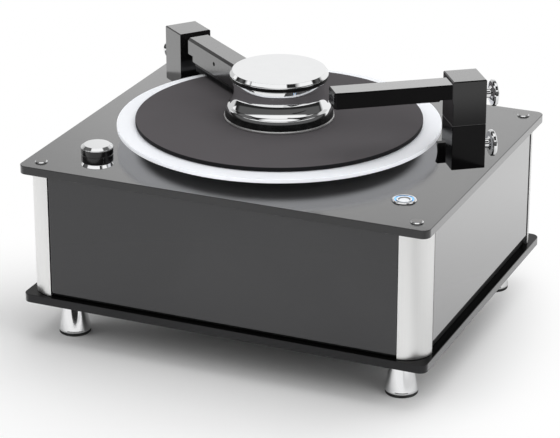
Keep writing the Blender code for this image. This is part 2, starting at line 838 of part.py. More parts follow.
def build_suction_arm(head_top):
    """A beam from the head's inner face towards the record, with a slotted rail and lips below."""
    top = head_top - suction_arm_drop
    length = suction_arm_length
    bevel = suction_arm_chamfer
    low = top - suction_arm_height
    rail_low = low - suction_rail_depth
    start = seat_gap
    shape = [
        (start, low),
        (suction_rail_start, low),
        (suction_rail_start, rail_low),
        (length, rail_low),
        (length, top - bevel),
        (length - bevel, top),
        (start, top),
    ]
    shape = [(-suction_block_width / 2 - s, z) for s, z in shape]
    middle_y = -suction_block_depth / 2 + suction_arm_width / 2
    upright = (math.pi / 2, 0, 0)
    place_at = (0, middle_y, 0)
    arm = outline("suction_arm", shape, suction_arm_width, black_anodised, place_at, suction_axis, upright)
    round_edges(arm, edge_bevel)
    slot_length = length - suction_rail_start - 2 * suction_wall_end
    slot_middle = -suction_block_width / 2 - suction_rail_start - suction_wall_end - slot_length / 2
    size = (slot_length, suction_slot_width, suction_slot_depth + cut_overrun)
    centre = (slot_middle, middle_y, rail_low + suction_slot_depth / 2 - cut_overrun / 2)
    cut(arm, box("suction_slot", size, None, centre, suction_axis))

    lip_start = suction_rail_start + suction_lip_margin
    lip_length = length - lip_start - suction_lip_margin
    lip_middle = -suction_block_width / 2 - lip_start - lip_length / 2
    lip_top = rail_low - seat_gap
    size = (lip_length, suction_lip_width, suction_lip_height)
    centre = (lip_middle, middle_y, lip_top - suction_lip_height / 2)
    lips = box("suction_lips", size, black_velvet, centre, suction_axis, edge_bevel)
    size = (slot_length, suction_slot_width, suction_lip_height + 2 * cut_overrun)
    centre = (slot_middle, middle_y, lip_top - suction_lip_height / 2)
    cut(lips, box("lip_slot", size, None, centre, suction_axis))


def build_guide():
    """A small block on the base's inner face, its free end hollowed as an arc."""
    half = guide_height / 2
    radius = (half ** 2 + guide_hollow ** 2) / (2 * guide_hollow)
    sweep = math.asin(half / radius)
    root = -suction_block_width / 2 - seat_gap
    end = root - guide_reach
    shape = [(root, -half), (root, half)]
    shape += arc(end + guide_hollow - radius, 0, radius, sweep, -sweep, 10)
    middle_y = -suction_block_depth / 2 + guide_setback + guide_thickness / 2
    middle_z = guide_bottom + half
    upright = (math.pi / 2, 0, 0)
    place_at = (0, middle_y, middle_z)
    outline("rim_guide", shape, guide_thickness, black_anodised, place_at, suction_axis, upright)


def build_brush_tower():
    """One block on a column that slides and turns in its bush."""
    low = brush_foot_gap
    size = (brush_block_width, brush_block_depth, brush_block_height)
    centre = (0, 0, low + brush_block_height / 2)
    block = box("brush_tower", size, black_anodised, centre, brush_axis, edge_bevel)
    radius = column_radius + running_gap
    socket_top = low + brush_column_socket
    start = low - cut_overrun
    drill(block, "brush_socket", radius, start, socket_top, (0, 0, 0), brush_axis, steps=plain_steps)
    top = socket_top - seat_gap
    cylinder("brush_column", column_radius, -brush_column_length, top, steel, (0, 0, 0), brush_axis)
    out = -brush_block_width / 2
    height = brush_thumb_height
    build_thumb_screw("brush_thumb_screw", brush_axis, block, out, height, -math.pi / 2, brush_neck_length)
    return low + brush_block_height


def build_brush_arm(block_top):
    """A beam from the block's inner face to the puck, deeper past its root, over its brush."""
    top = block_top - brush_arm_drop
    low = top - brush_arm_height
    rail_low = low - brush_rail_depth
    length = brush_arm_length
    shape = [
        (seat_gap, low),
        (brush_rail_start, low),
        (brush_rail_start, rail_low),
        (length, rail_low),
        (length, top - suction_arm_chamfer),
        (length - suction_arm_chamfer, top),
        (seat_gap, top),
    ]
    shape = [(brush_block_width / 2 + s, z) for s, z in shape]
    middle_y = -brush_block_depth / 2 + brush_arm_setback + brush_arm_width / 2
    upright = (math.pi / 2, 0, 0)
    arm = outline("brush_arm", shape, brush_arm_width, black_anodised, (0, middle_y, 0), brush_axis, upright)
    round_edges(arm, edge_bevel)

    face_y = middle_y - brush_arm_width / 2
    screw_at = (brush_block_width / 2 + arm_screw_along, face_y, top - arm_screw_drop)
    facing = (math.pi / 2, 0, 0)
    profile = [
        (0, seat_gap),
        (arm_screw_radius, seat_gap),
        (arm_screw_radius, -arm_screw_length),
        (0, -arm_screw_length),
    ]
    turned("arm_screw", profile, steel, screw_at, brush_axis, facing, small_steps)
    radius = arm_screw_radius + seat_gap
    depth = arm_screw_length + seat_gap
    drill(arm, "arm_screw_hole", radius, -depth, cut_overrun, screw_at, brush_axis, facing)

    length -= brush_start + brush_margin
    brush_top = rail_low - seat_gap
    middle_x = brush_block_width / 2 + brush_start + length / 2
    middle_y = face_y + brush_setback + brush_width / 2
    size = (length, brush_width, brush_top - mat_top - brush_clearance)
    bristles("arm_brush", size, (middle_x, middle_y, brush_top))


def bristles(name, size, location):
    """A backing strip with a block of tapered bristles below it, from one grid of cells."""
    length, width, height = size
    mesh = bpy.data.meshes.new(name)
    work = bmesh.new()
    cells = {"x_segments": brush_columns, "y_segments": brush_rows}
    bmesh.ops.create_grid(work, **cells, size=0.5, matrix=Matrix.Diagonal((length, width, 1, 1)))
    roots = list(work.faces)
    backing = bmesh.ops.extrude_face_region(work, geom=roots, use_keep_orig=True)["geom"]
    upper = [part for part in backing if isinstance(part, bmesh.types.BMVert)]
    bmesh.ops.translate(work, verts=upper, vec=(0, 0, brush_backing))
    upper_faces = [part for part in backing if isinstance(part, bmesh.types.BMFace)]
    bmesh.ops.dissolve_faces(work, faces=upper_faces)
    tips = bmesh.ops.extrude_discrete_faces(work, faces=roots)["faces"]
    draw = random.Random(5)
    room = (1 - bristle_tip_share) * bristle_sway_share
    for tip in tips:
        middle = tip.calc_center_median()
        sway_x = draw.uniform(-room, room) * length / brush_columns
        sway_y = draw.uniform(-room, room) * width / brush_rows
        drop = Vector((sway_x, sway_y, brush_backing - height))
        for corner in tip.verts:
            corner.co = middle + drop + (corner.co - middle) * bristle_tip_share
    bmesh.ops.translate(work, verts=work.verts, vec=(0, 0, -brush_backing))
    bmesh.ops.recalc_face_normals(work, faces=work.faces)
    work.to_mesh(mesh)
    work.free()
    place(bpy.data.objects.new(name, mesh), black_bristle, location, (0, 0, 0), brush_axis)


def build_knob():
    """A chrome ring on the plate, a dark grip with its spindle, and a bevelled chrome cap."""
    base_top = seat_gap + knob_base_height
    bore = knob_spindle_radius + running_gap
    profile = [
        (bore, base_top),
        (knob_base_radius - edge_bevel, base_top),
        (knob_base_radius, base_top - edge_bevel),
        (knob_base_radius, seat_gap),
        (bore, seat_gap),
    ]
    turned("knob_base", profile, polished_chrome, (0, 0, 0), knob_axis, ring=True)

    low = base_top + running_gap
    top = low + knob_grip_height
    groove = low + knob_groove_height
    profile = [
        (0, top),
        (knob_radius, top),
        (knob_radius, groove + knob_groove_width / 2),
        (knob_radius - knob_groove_depth, groove + knob_groove_width / 2),
        (knob_radius - knob_groove_depth, groove - knob_groove_width / 2),
        (knob_radius, groove - knob_groove_width / 2),
        (knob_radius, low + knob_grip_chamfer),
        (knob_radius - knob_grip_chamfer, low),
        (knob_spindle_radius, low),
        (knob_spindle_radius, -knob_spindle_length),
        (0, -knob_spindle_length),
    ]
    grip = turned("knob_grip", profile, black_anodised, (0, 0, 0), knob_axis)
    along = Vector((math.cos(knob_pointer_turn), math.sin(knob_pointer_turn), 0))
    pointer_height = groove - knob_groove_width / 2 - low
    size = (2 * knob_pointer_depth, knob_pointer_width, pointer_height)
    centre = along * knob_radius + Vector((0, 0, low + pointer_height / 2))
    turn = (0, 0, knob_pointer_turn)
    cut(grip, box("knob_pointer", size, None, centre, knob_axis, rotation=turn))

    low = top + seat_gap
    top = low + knob_cap_height
    profile = [
        (0, top),
        (knob_radius - knob_cap_bevel, top),
        (knob_radius, low + edge_bevel),
        (knob_radius, low),
        (0, low),
    ]
    turned("knob_cap", profile, polished_chrome, (0, 0, 0), knob_axis)

    body_top = -plate_thickness - seat_gap
    size = (switch_body_size, switch_body_size, switch_body_height)
    centre = (0, 0, body_top - switch_body_height / 2)
    switch = box("rotary_switch", size, grey_polymer, centre, knob_axis, edge_bevel)
    socket_low = -knob_spindle_length - running_gap
    drill(switch, "switch_socket", bore, socket_low, body_top + cut_overrun, (0, 0, 0), knob_axis)


def build_button():
    """A bezel clamped in the plate, a lit ring in it and a domed cap that travels."""
    edge = bezel_edge_round
    barrel_low = -bezel_barrel_length
    profile = [
        (bezel_bore_radius, bezel_height),
        (bezel_radius - edge, bezel_height),
        (bezel_radius, bezel_height - edge),
        (bezel_radius, seat_gap),
        (bezel_barrel_radius, seat_gap),
        (bezel_barrel_radius, barrel_low),
        (bezel_bore_radius, barrel_low),
    ]
    turned("button_bezel", profile, polished_chrome, (0, 0, 0), button_axis, ring=True)

    top = bezel_height - light_ring_drop
    low = top - light_ring_height
    radius = bezel_bore_radius - seat_gap
    tube("button_light_ring", radius, light_ring_inner_radius, low, top, blue_light, button_axis)

    cap_low = top - button_cap_thickness
    dome = [(button_cap_radius * math.sin(t), top + button_cap_rise * math.cos(t)) for t in
            (math.pi / 2 * i / 6 for i in range(7))]
    stem_low = cap_low - button_stem_length
    profile = dome + [
        (button_cap_radius, cap_low),
        (button_stem_radius, cap_low),
        (button_stem_radius, stem_low),
        (0, stem_low),
    ]
    turned("button_cap", profile, pale_button, (0, 0, 0), button_axis)

    body_top = barrel_low - seat_gap
    body_low = body_top - button_switch_height
    socket = button_stem_radius + running_gap
    socket_low = stem_low - button_travel - running_gap
    profile = [
        (socket, body_top),
        (button_switch_radius, body_top),
        (button_switch_radius, body_low),
        (0, body_low),
        (0, socket_low),
        (socket, socket_low),
    ]
    turned("button_switch", profile, grey_polymer, (0, 0, 0), button_axis, steps=small_steps, ring=True)


def smooth_route(points, count):
    """Points of a smooth curve through the given ones (Catmull-Rom)."""
    knots = [Vector(p) for p in points]
    knots = [2 * knots[0] - knots[1]] + knots + [2 * knots[-1] - knots[-2]]
    route = []
    for a, b, c, d in zip(knots, knots[1:], knots[2:], knots[3:]):
        for i in range(count):
            t = i / count
            route.append(0.5 * (2 * b + (c - a) * t + (2 * a - 5 * b + 4 * c - d) * t ** 2
                                + (3 * b - a - 3 * c + d) * t ** 3))
    route.append(knots[-2])
    return route


def hose(name, points):
    curve = bpy.data.curves.new(name, "CURVE")
    curve.dimensions = "3D"
    curve.bevel_depth = hose_radius
    curve.bevel_resolution = 2
    curve.use_fill_caps = True
    spline = curve.splines.new("POLY")
    route = smooth_route(points, hose_steps)
    spline.points.add(len(route) - 1)
    for point, place_at in zip(spline.points, route):
        point.co = (*place_at, 1)
    return as_mesh(name, curve, hose_rubber, (0, 0, 0), machine)


def build_works():
    """Tank, pump and power supply on the base board, a hose, and the inlet in the rear panel."""
    floor = bottom_plate_top + board_thickness + 2 * seat_gap
    size = (tank_width, tank_depth, tank_height)
    centre = (tank_offset_x, tank_offset_y, floor + tank_height / 2)
    tank = box("waste_tank", size, tank_polymer, centre, machine, tank_round)
    tank_top = floor + tank_height
    at = (tank_offset_x + spigot_offset_x, tank_offset_y, tank_top)
    spigot = cylinder("tank_spigot", spigot_radius, -cut_overrun, spigot_height, None, at, machine)
    cut(tank, spigot, "UNION")

    pump_low = tank_top + seat_gap
    pump_top = pump_low + pump_height
    profile = [
        (0, pump_top),
        (pump_radius - pump_shoulder, pump_top),
        (pump_radius, pump_top - pump_shoulder),
        (pump_radius, pump_low + edge_bevel),
        (pump_radius - edge_bevel, pump_low),
        (0, pump_low),
    ]
    pump_at = (tank_offset_x + pump_offset_x, tank_offset_y, 0)
    turned("vacuum_pump", profile, grey_polymer, pump_at, machine, steps=small_steps)

    size = (supply_width, supply_depth, supply_height)
    centre = (supply_offset_x, supply_offset_y, floor + supply_height / 2)
    box("power_supply", size, grey_polymer, centre, machine, supply_round)

    bend = 6 * hose_radius
    start = Vector((suction_offset_x, suction_offset_y, deck - column_length - seat_gap))
    end = Vector((at[0], at[1], tank_top + spigot_height + seat_gap))
    low = start.z - bend
    middle = (start + end) / 2
    hose("waste_hose", [
        start,
        start - Vector((0, 0, bend / 6)),
        start - Vector((0, 0, bend / 3)),
        (start.x - bend, start.y + bend / 2, low),
        (middle.x, middle.y + bend / 3, low),
        (end.x + 2 * bend, end.y + bend / 3, end.z),
        (end.x + bend / 2, end.y + bend / 6, end.z + 2 * bend / 3),
        end + Vector((0, 0, bend / 3)),
        end + Vector((0, 0, bend / 6)),
        end,
    ])

    face = plate_depth / 2 - panel_inset
    height = bottom_plate_top + inlet_height
    size = (inlet_flange_width, inlet_flange_thickness, inlet_flange_height)
    centre = (inlet_offset_x, face + seat_gap + inlet_flange_thickness / 2, height)
    inlet = box("mains_inlet", size, grey_polymer, centre, machine)
    size = (inlet_body_width, inlet_body_depth + inlet_flange_thickness / 2, inlet_body_height)
    centre = (inlet_offset_x, face + seat_gap + inlet_flange_thickness / 2 - size[1] / 2, height)
    cut(inlet, box("inlet_body", size, None, centre, machine), "UNION")
    size = (inlet_socket_width, inlet_socket_depth + cut_overrun, inlet_socket_height)
    outer = face + seat_gap + inlet_flange_thickness
    centre = (inlet_offset_x, outer + cut_overrun - size[1] / 2, height)
    cut(inlet, box("inlet_socket", size, None, centre, machine))


build_plates()
build_posts()
build_panels()
build_base_board()
build_plate_screws()
build_feet()
build_platter()
build_spindle()
build_puck()
build_bush("suction_bush", suction_axis)
build_bush("brush_bush", brush_axis)
build_suction_arm(build_suction_tower())
build_guide()
build_brush_arm(build_brush_tower())
build_knob()
build_button()
build_works()
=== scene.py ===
"""Looks of the record cleaning machine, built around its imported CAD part.

Metres, +Z up, in the part's own frame. The plates, posts, turned parts, towers, arms, brush and velvet
lips replace their CAD solids; the other solids stay and only get their finishes here.
"""

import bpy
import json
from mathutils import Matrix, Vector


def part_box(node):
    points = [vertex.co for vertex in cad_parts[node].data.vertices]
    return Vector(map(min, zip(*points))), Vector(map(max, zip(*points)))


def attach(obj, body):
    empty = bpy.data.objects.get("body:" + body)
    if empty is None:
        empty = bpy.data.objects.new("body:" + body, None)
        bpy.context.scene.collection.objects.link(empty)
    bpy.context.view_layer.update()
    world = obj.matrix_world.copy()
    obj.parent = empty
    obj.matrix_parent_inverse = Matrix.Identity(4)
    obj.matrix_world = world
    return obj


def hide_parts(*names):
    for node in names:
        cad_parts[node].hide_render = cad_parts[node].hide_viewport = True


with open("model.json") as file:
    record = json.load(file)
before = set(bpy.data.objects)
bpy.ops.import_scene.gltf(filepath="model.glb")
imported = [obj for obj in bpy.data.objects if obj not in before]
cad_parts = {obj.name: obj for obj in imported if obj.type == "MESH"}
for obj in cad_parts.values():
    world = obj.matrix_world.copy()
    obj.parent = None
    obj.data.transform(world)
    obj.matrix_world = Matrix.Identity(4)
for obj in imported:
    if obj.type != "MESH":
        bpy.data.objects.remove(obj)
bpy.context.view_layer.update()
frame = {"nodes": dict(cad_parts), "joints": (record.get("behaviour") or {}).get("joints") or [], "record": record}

import json
import math
import random

import bmesh
import bpy
from mathutils import Matrix, Vector

MM = 0.001
DEG = math.pi / 180

# Edges with at least this much between their faces are shaded sharp, bevelled or chamfered
SHARP_ANGLE = 35 * DEG
BEVEL_ANGLE = 30 * DEG
CHAMFER_ANGLE = 60 * DEG

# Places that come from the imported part
joint_at = {j["name"]: Vector(j["pos_m"]) for j in frame["joints"] if "pos_m" in j}
joint_axis = {j["name"]: Vector(j["axis"]) for j in frame["joints"]}
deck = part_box("top_plate")[1].z
plate_low, plate_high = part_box("bottom_plate")
plate_middle = (plate_low.x + plate_high.x) / 2
suction_turn = math.atan2(joint_axis["upper_screw_turn"].y, joint_axis["upper_screw_turn"].x)
brush_turn = math.atan2(-joint_axis["brush_screw_turn"].y, -joint_axis["brush_screw_turn"].x)
suction_frame = Matrix.Translation(joint_at["suction_swivel"]) @ Matrix.Rotation(suction_turn, 4, "Z")
brush_frame = Matrix.Translation(joint_at["brush_swivel"]) @ Matrix.Rotation(brush_turn, 4, "Z")
corners = {"front_left": (-1, -1), "front_right": (1, -1), "rear_left": (-1, 1), "rear_right": (1, 1)}
corners_in_turn = ("rear_right", "rear_left", "front_left", "front_right")

# Lengths in millimetres that several pieces share
seat_gap = 0.3
running_gap = 0.4
pin_hole = 3.9

# The photograph's view: where the camera stands, and its level direction towards the camera
camera_offset = (868.1 * MM, -2036.8 * MM, 829.6 * MM)
camera_turn = 23.282 * DEG
camera_pitch = 22.381 * DEG
camera_lens = 161.63
to_camera = (math.sin(camera_turn), -math.cos(camera_turn), 0)
to_right = (math.cos(camera_turn), math.sin(camera_turn), 0)


# Shader nodes as expressions

class Value:
    """A node's output that can be used in a Python expression; each operator adds its Math node."""

    def __init__(self, shading, socket):
        self.shading = shading
        self.socket = socket

    def __add__(self, other):
        return self.shading.math("ADD", self, other)

    def __mul__(self, other):
        return self.shading.math("MULTIPLY", self, other)

    def __rsub__(self, other):
        return self.shading.math("SUBTRACT", other, self)

    __radd__ = __add__
    __rmul__ = __mul__


class Shading:
    """Adds nodes to one node tree."""

    def __init__(self, tree):
        self.tree = tree

    def node(self, kind, sockets, output=0, **settings):
        """One node: its settings first, then the values or links of its sockets."""
        made = self.tree.nodes.new("ShaderNode" + kind)
        for key, setting in settings.items():
            setattr(made, key, setting)
        for key, value in sockets.items():
            if isinstance(value, Value):
                self.tree.links.new(value.socket, made.inputs[key])
            else:
                made.inputs[key].default_value = value
        return Value(self, made.outputs[output]) if made.outputs else None

    def math(self, operation, *values):
        return self.node("Math", dict(enumerate(values)), operation=operation)

    def vector(self, operation, *vectors, output=0):
        return self.node("VectorMath", dict(enumerate(vectors)), output, operation=operation)

    def highest(self, first, *others):
        for other in others:
            first = self.math("MAXIMUM", first, other)
        return first

    def step(self, value, low, high):
        """0 below low, 1 above high, smooth between them."""
        sockets = {"Value": value, "From Min": low, "From Max": high}
        return self.node("MapRange", sockets, interpolation_type="SMOOTHSTEP")

    def band(self, value, low, high, blur):
        """1 between low and high, with an edge that is blurred to both sides."""
        rise = self.step(value, low - blur, low + blur)
        return rise * (1 - self.step(value, high - blur, high + blur))

    def place(self, stretch=(1, 1, 1)):
        """The surface's own coordinates in metres, stretched."""
        return self.vector("MULTIPLY", self.node("TexCoord", {}, "Object"), stretch)

    def noise(self, scale, detail=3, stretch=(1, 1, 1)):
        return self.node("TexNoise", {"Vector": self.place(stretch), "Scale": scale, "Detail": detail})

    def dot(self, vector, direction):
        return self.vector("DOT_PRODUCT", vector, direction, output="Value")

    def length(self, vector):
        return self.vector("LENGTH", vector, output="Value")

    def facing(self, direction):
        """How squarely the surface faces a direction."""
        return self.dot(self.node("NewGeometry", {}, "Normal"), direction)

    def level(self):
        """1 on level faces, 0 on upright ones."""
        return self.math("ABSOLUTE", self.facing((0, 0, 1)))

    def rays(self):
        """1 for rays from the camera, mirrored rays and rays let through, each 0 for all others."""
        return [self.node("LightPath", {}, f"Is {kind} Ray") for kind in ("Camera", "Glossy", "Transmission")]

    def mix(self, amount, first, second):
        """A colour between two, each a shade or another node's colour."""
        shades = [c if isinstance(c, Value) else (*c, 1) for c in (first, second)]
        return self.node("Mix", {0: amount, 6: shades[0], 7: shades[1]}, 2, data_type="RGBA")

    def blend(self, amount, under, over):
        """A shader between two."""
        return self.node("MixShader", {0: amount, 1: under, 2: over})


class Finish(Shading):
    """One material: constants go straight on its shader, what varies is fed to it.

    Its colour and roughness stand in for the nodes where those can't be read.
    """

    def __init__(self, name, colour, roughness, **fixed):
        self.material = bpy.data.materials.new(name)
        self.material.use_nodes = True
        super().__init__(self.material.node_tree)
        self.shader = self.tree.nodes["Principled BSDF"]
        self.shader.inputs["Base Color"].default_value = (*colour, 1)
        self.shader.inputs["Roughness"].default_value = roughness
        for key, value in fixed.items():
            self.shader.inputs[key.replace("_", " ")].default_value = value

    def feed(self, socket, value):
        self.tree.links.new(value.socket, self.shader.inputs[socket])

    def tint(self, amount, dark, light):
        """Base colour between two shades."""
        self.feed("Base Color", self.mix(amount, dark, light))

    def bump(self, height, strength, distance):
        sockets = {"Height": height, "Strength": strength, "Distance": distance}
        self.feed("Normal", self.node("Bump", sockets))

    def smudge(self):
        """Faint wiping marks."""
        return self.step(self.noise(7, 5, (1, 3, 1)), 0.42, 0.72)

    def glance(self, strength, power, roughness):
        """A mirror layer that shows at flat angles only, as on dark polished surfaces."""
        facing = self.node("LayerWeight", {"Blend": 0.5}, "Facing")
        amount = self.math("MINIMUM", strength * self.math("POWER", facing, power), 0.9)
        sockets = {"Base Color": (1, 1, 1, 1), "Metallic": 1, "Roughness": roughness}
        mirror = self.node("BsdfPrincipled", sockets)
        mixed = self.blend(amount, Value(self, self.shader.outputs[0]), mirror)
        self.tree.links.new(mixed.socket, self.tree.nodes["Material Output"].inputs["Surface"])


def acrylic_finish():
    """Black acrylic with a polished face: faint wiping marks and a few specks of dust."""
    finish = Finish("gloss_acrylic", (0.016, 0.016, 0.018), 0.05, IOR=1.5, Coat_Weight=0.35, Coat_IOR=1.5,
                    Coat_Roughness=0.03)
    smudge = finish.smudge()
    specks = finish.step(finish.noise(900, 1), 0.80, 0.84)
    rough = 0.035 + 0.06 * smudge + 0.10 * specks
    finish.feed("Roughness", rough)
    marks = finish.highest(0.35 * smudge, 0.6 * specks)
    finish.tint(marks, (0.014, 0.014, 0.016), (0.030, 0.030, 0.032))
    finish.glance(1.36, 4, rough)
    return finish.material


def sheet_finish(name, shade, roughness, sheen, ior):
    """A plate: satin black acrylic on its level faces, polished along its edges.

    sheen is the strength of its paleness at flat angles, which the eased edges lack.
    """
    finish = Finish(name, (0.016, 0.016, 0.018), roughness, IOR=ior)
    edge_roughness, edge_sheen = 0.07, 0.95
    flat = finish.step(finish.level(), 0.90, 0.99)
    smudge = finish.smudge()
    grain = finish.noise(1800, 2)
    rough = edge_roughness + (roughness - edge_roughness) * flat + 0.03 * smudge + 0.03 * grain
    finish.feed("Roughness", rough)
    edge = finish.mix(smudge, (0.020, 0.020, 0.021), (0.027, 0.027, 0.028))
    face = finish.mix(0.6 * smudge + 0.4 * grain, [0.9 * shade] * 3, [1.1 * shade] * 3)
    finish.feed("Base Color", finish.mix(flat, edge, face))
    eased = finish.band(finish.level(), 0.2, 0.85, 0.08)
    finish.glance((edge_sheen + (sheen - edge_sheen) * flat) * (1 - eased), 4, rough)
    return finish.material


def anodised_finish(name, ior, sheen, upright=1, seam=None):
    """Black towers and arms: satin over a very fine grain, and pale at flat angles.

    upright is the share of that paleness on upright faces; above a seam's height the shine grows upwards, a
    painted sheen.
    """
    finish = Finish(name, (0.003, 0.0028, 0.003), 0.16, IOR=ior)
    grain = finish.noise(2600, 2)
    cloud = finish.noise(38, 4)
    rough = 0.12 + 0.04 * grain + 0.05 * cloud
    finish.feed("Roughness", rough)
    finish.tint(cloud, (0.0024, 0.0022, 0.0024), (0.005, 0.0047, 0.005))
    finish.bump(grain, 0.05, 0.02 * MM)
    flat = finish.step(finish.level(), 0.8, 0.95)
    if seam is not None:
        # Painted sheen: coat weight rising above the seam makes the face brighter towards its top
        height = finish.dot(finish.place(), (0, 0, 1))
        shine = 0.2 + 0.8 * finish.step(height, seam - 2 * MM, seam + 34 * MM)
        finish.feed("Coat Weight", finish.highest(flat, shine))
    finish.glance(sheen * (upright + (1 - upright) * flat), 3, rough)
    return finish.material


def chrome_finish():
    """Plated turned parts, with the faintest turning marks round their own axis."""
    finish = Finish("polished_chrome", (0.80, 0.805, 0.81), 0.03, Metallic=1)
    marks = finish.noise(1, 3, (60, 60, 3200))
    haze = finish.noise(90, 4)
    finish.feed("Roughness", 0.018 + 0.02 * marks + 0.03 * finish.step(haze, 0.5, 0.8))
    finish.tint(haze, (0.78, 0.785, 0.792), (0.82, 0.824, 0.828))
    return finish.material


def aluminium_finish():
    """Corner posts: satin anodised, drawn lines running up the profile."""
    finish = Finish("satin_aluminium", (0.83, 0.83, 0.82), 0.34, Metallic=1)
    lines = finish.noise(1, 4, (2400, 2400, 14))
    broad = finish.noise(1, 2, (260, 260, 3))
    finish.feed("Roughness", 0.28 + 0.12 * lines + 0.05 * broad)
    finish.tint(0.6 * lines + 0.4 * broad, (0.76, 0.76, 0.755), (0.90, 0.90, 0.89))
    finish.bump(lines, 0.12, 0.03 * MM)
    return finish.material


def platter_finish():
    """Milky acrylic, frosted and faintly cool; painted glow for light let through beside the mat, and on the rim.
    """
    finish = Finish("pale_acrylic", (0.82, 0.84, 0.88), 0.30, IOR=1.49, Emission_Strength=1)
    frost = finish.noise(1800, 2)
    finish.feed("Roughness", 0.24 + 0.14 * frost)
    finish.tint(finish.noise(16), (0.81, 0.83, 0.875), (0.85, 0.865, 0.895))
    # Painted glow: emission on the downward faces of the ring beyond the mat
    from_axis = finish.length(finish.place((1, 1, 0)))
    painted_underside_glow = finish.step(from_axis, 0.128, 0.140) * finish.step(finish.facing((0, 0, -1)), 0.5, 0.9)
    # Painted light: emission that lightens the upright rim
    side = 0.45 * (1 - finish.step(finish.level(), 0.2, 0.9))
    finish.feed("Emission Color", finish.mix(painted_underside_glow + side, (0, 0, 0), (0.68, 0.69, 0.72)))
    finish.bump(frost, 0.05, 0.02 * MM)
    return finish.material


def mat_finish():
    """Felt-like mat: short matted fibres in two sizes, slightly uneven in tone; its upright rim is painted shade.
    """
    finish = Finish("dark_mat", (0.085, 0.078, 0.084), 0.9, Specular_IOR_Level=0.15, Sheen_Weight=0.07,
                    Sheen_Roughness=0.5)
    fibres = finish.noise(2200, 4)
    tufts = finish.noise(420)
    tone = 0.55 * fibres + 0.25 * tufts + 0.2 * finish.noise(24)
    felt = finish.mix(tone, (0.050, 0.046, 0.049), (0.092, 0.085, 0.091))
    # Painted shade: the upright rim faces go near-black
    rim = 1 - finish.step(finish.level(), 0.55, 0.95)
    finish.feed("Base Color", finish.mix(rim, felt, (0.008, 0.008, 0.009)))
    finish.feed("Roughness", 0.84 + 0.12 * tufts)
    finish.bump(0.7 * fibres + 0.3 * tufts, 0.45, 0.12 * MM)
    return finish.material


def light_finish():
    """The lit ring: blue light through a diffusing plastic, slightly uneven."""
    finish = Finish("blue_light", (0.30, 0.55, 0.85), 0.25, Emission_Strength=0.9)
    diffuser = finish.noise(700, 2)
    finish.feed("Emission Color", finish.mix(diffuser, (0.06, 0.30, 0.85), (0.25, 0.62, 1.0)))
    finish.feed("Roughness", 0.2 + 0.1 * diffuser)
    return finish.material


def two_tone_finish(name, colour, roughness, grain, edge, face, bend, rough, **fixed):
    """Level faces of one tone and an edge of another, each between two shades.

    grain is a noise's scale, detail and stretch, bend the range of level() over which the tones meet,
    and rough the roughness without the grain and the grain's share of it.
    """
    finish = Finish(name, colour, roughness, **fixed)
    grain = finish.noise(*grain)
    flat = finish.step(finish.level(), *bend)
    finish.feed("Base Color", finish.mix(flat, finish.mix(grain, *edge), finish.mix(grain, *face)))
    finish.feed("Roughness", rough[0] + rough[1] * grain)
    return finish.material


def plain_finish(name, colour, roughness, grain, shades, rough=None, relief=None, tone=None, spread=None,
                 **fixed):
    """One grain that shades, roughens and lifts the surface; grain and rough are as above.

    relief is the bump's strength and depth, tone another noise for the shade, and spread the range of
    the noise that the shade goes through.
    """
    finish = Finish(name, colour, roughness, **fixed)
    grain = finish.noise(*grain)
    amount = finish.noise(*tone) if tone else grain
    if spread:
        amount = finish.step(amount, *spread)
    finish.tint(amount, *shades)
    if rough:
        finish.feed("Roughness", rough[0] + rough[1] * grain)
    if relief:
        finish.bump(grain, *relief)
    return finish.material


def rubber_finish(name, colour, roughness, gloss=0.35):
    """Moulded rubber: a fine bloom and a slightly pebbled skin."""
    bloomed = [2.2 * c + 0.006 for c in colour]
    return plain_finish(name, colour, roughness, (1500, 2), (colour, bloomed), (roughness - 0.06, 0.12),
                        (0.15, 0.05 * MM), (120, 4), (0.35, 0.8), Specular_IOR_Level=gloss)


def polymer_finish(name, colour, roughness):
    """Moulded plastic with a fine spark-eroded texture."""
    shades = [[share * c for c in colour] for share in (0.88, 1.1)]
    return plain_finish(name, colour, roughness, (1900, 3), shades, (roughness - 0.05, 0.1),
                        (0.2, 0.05 * MM), (30, 3))


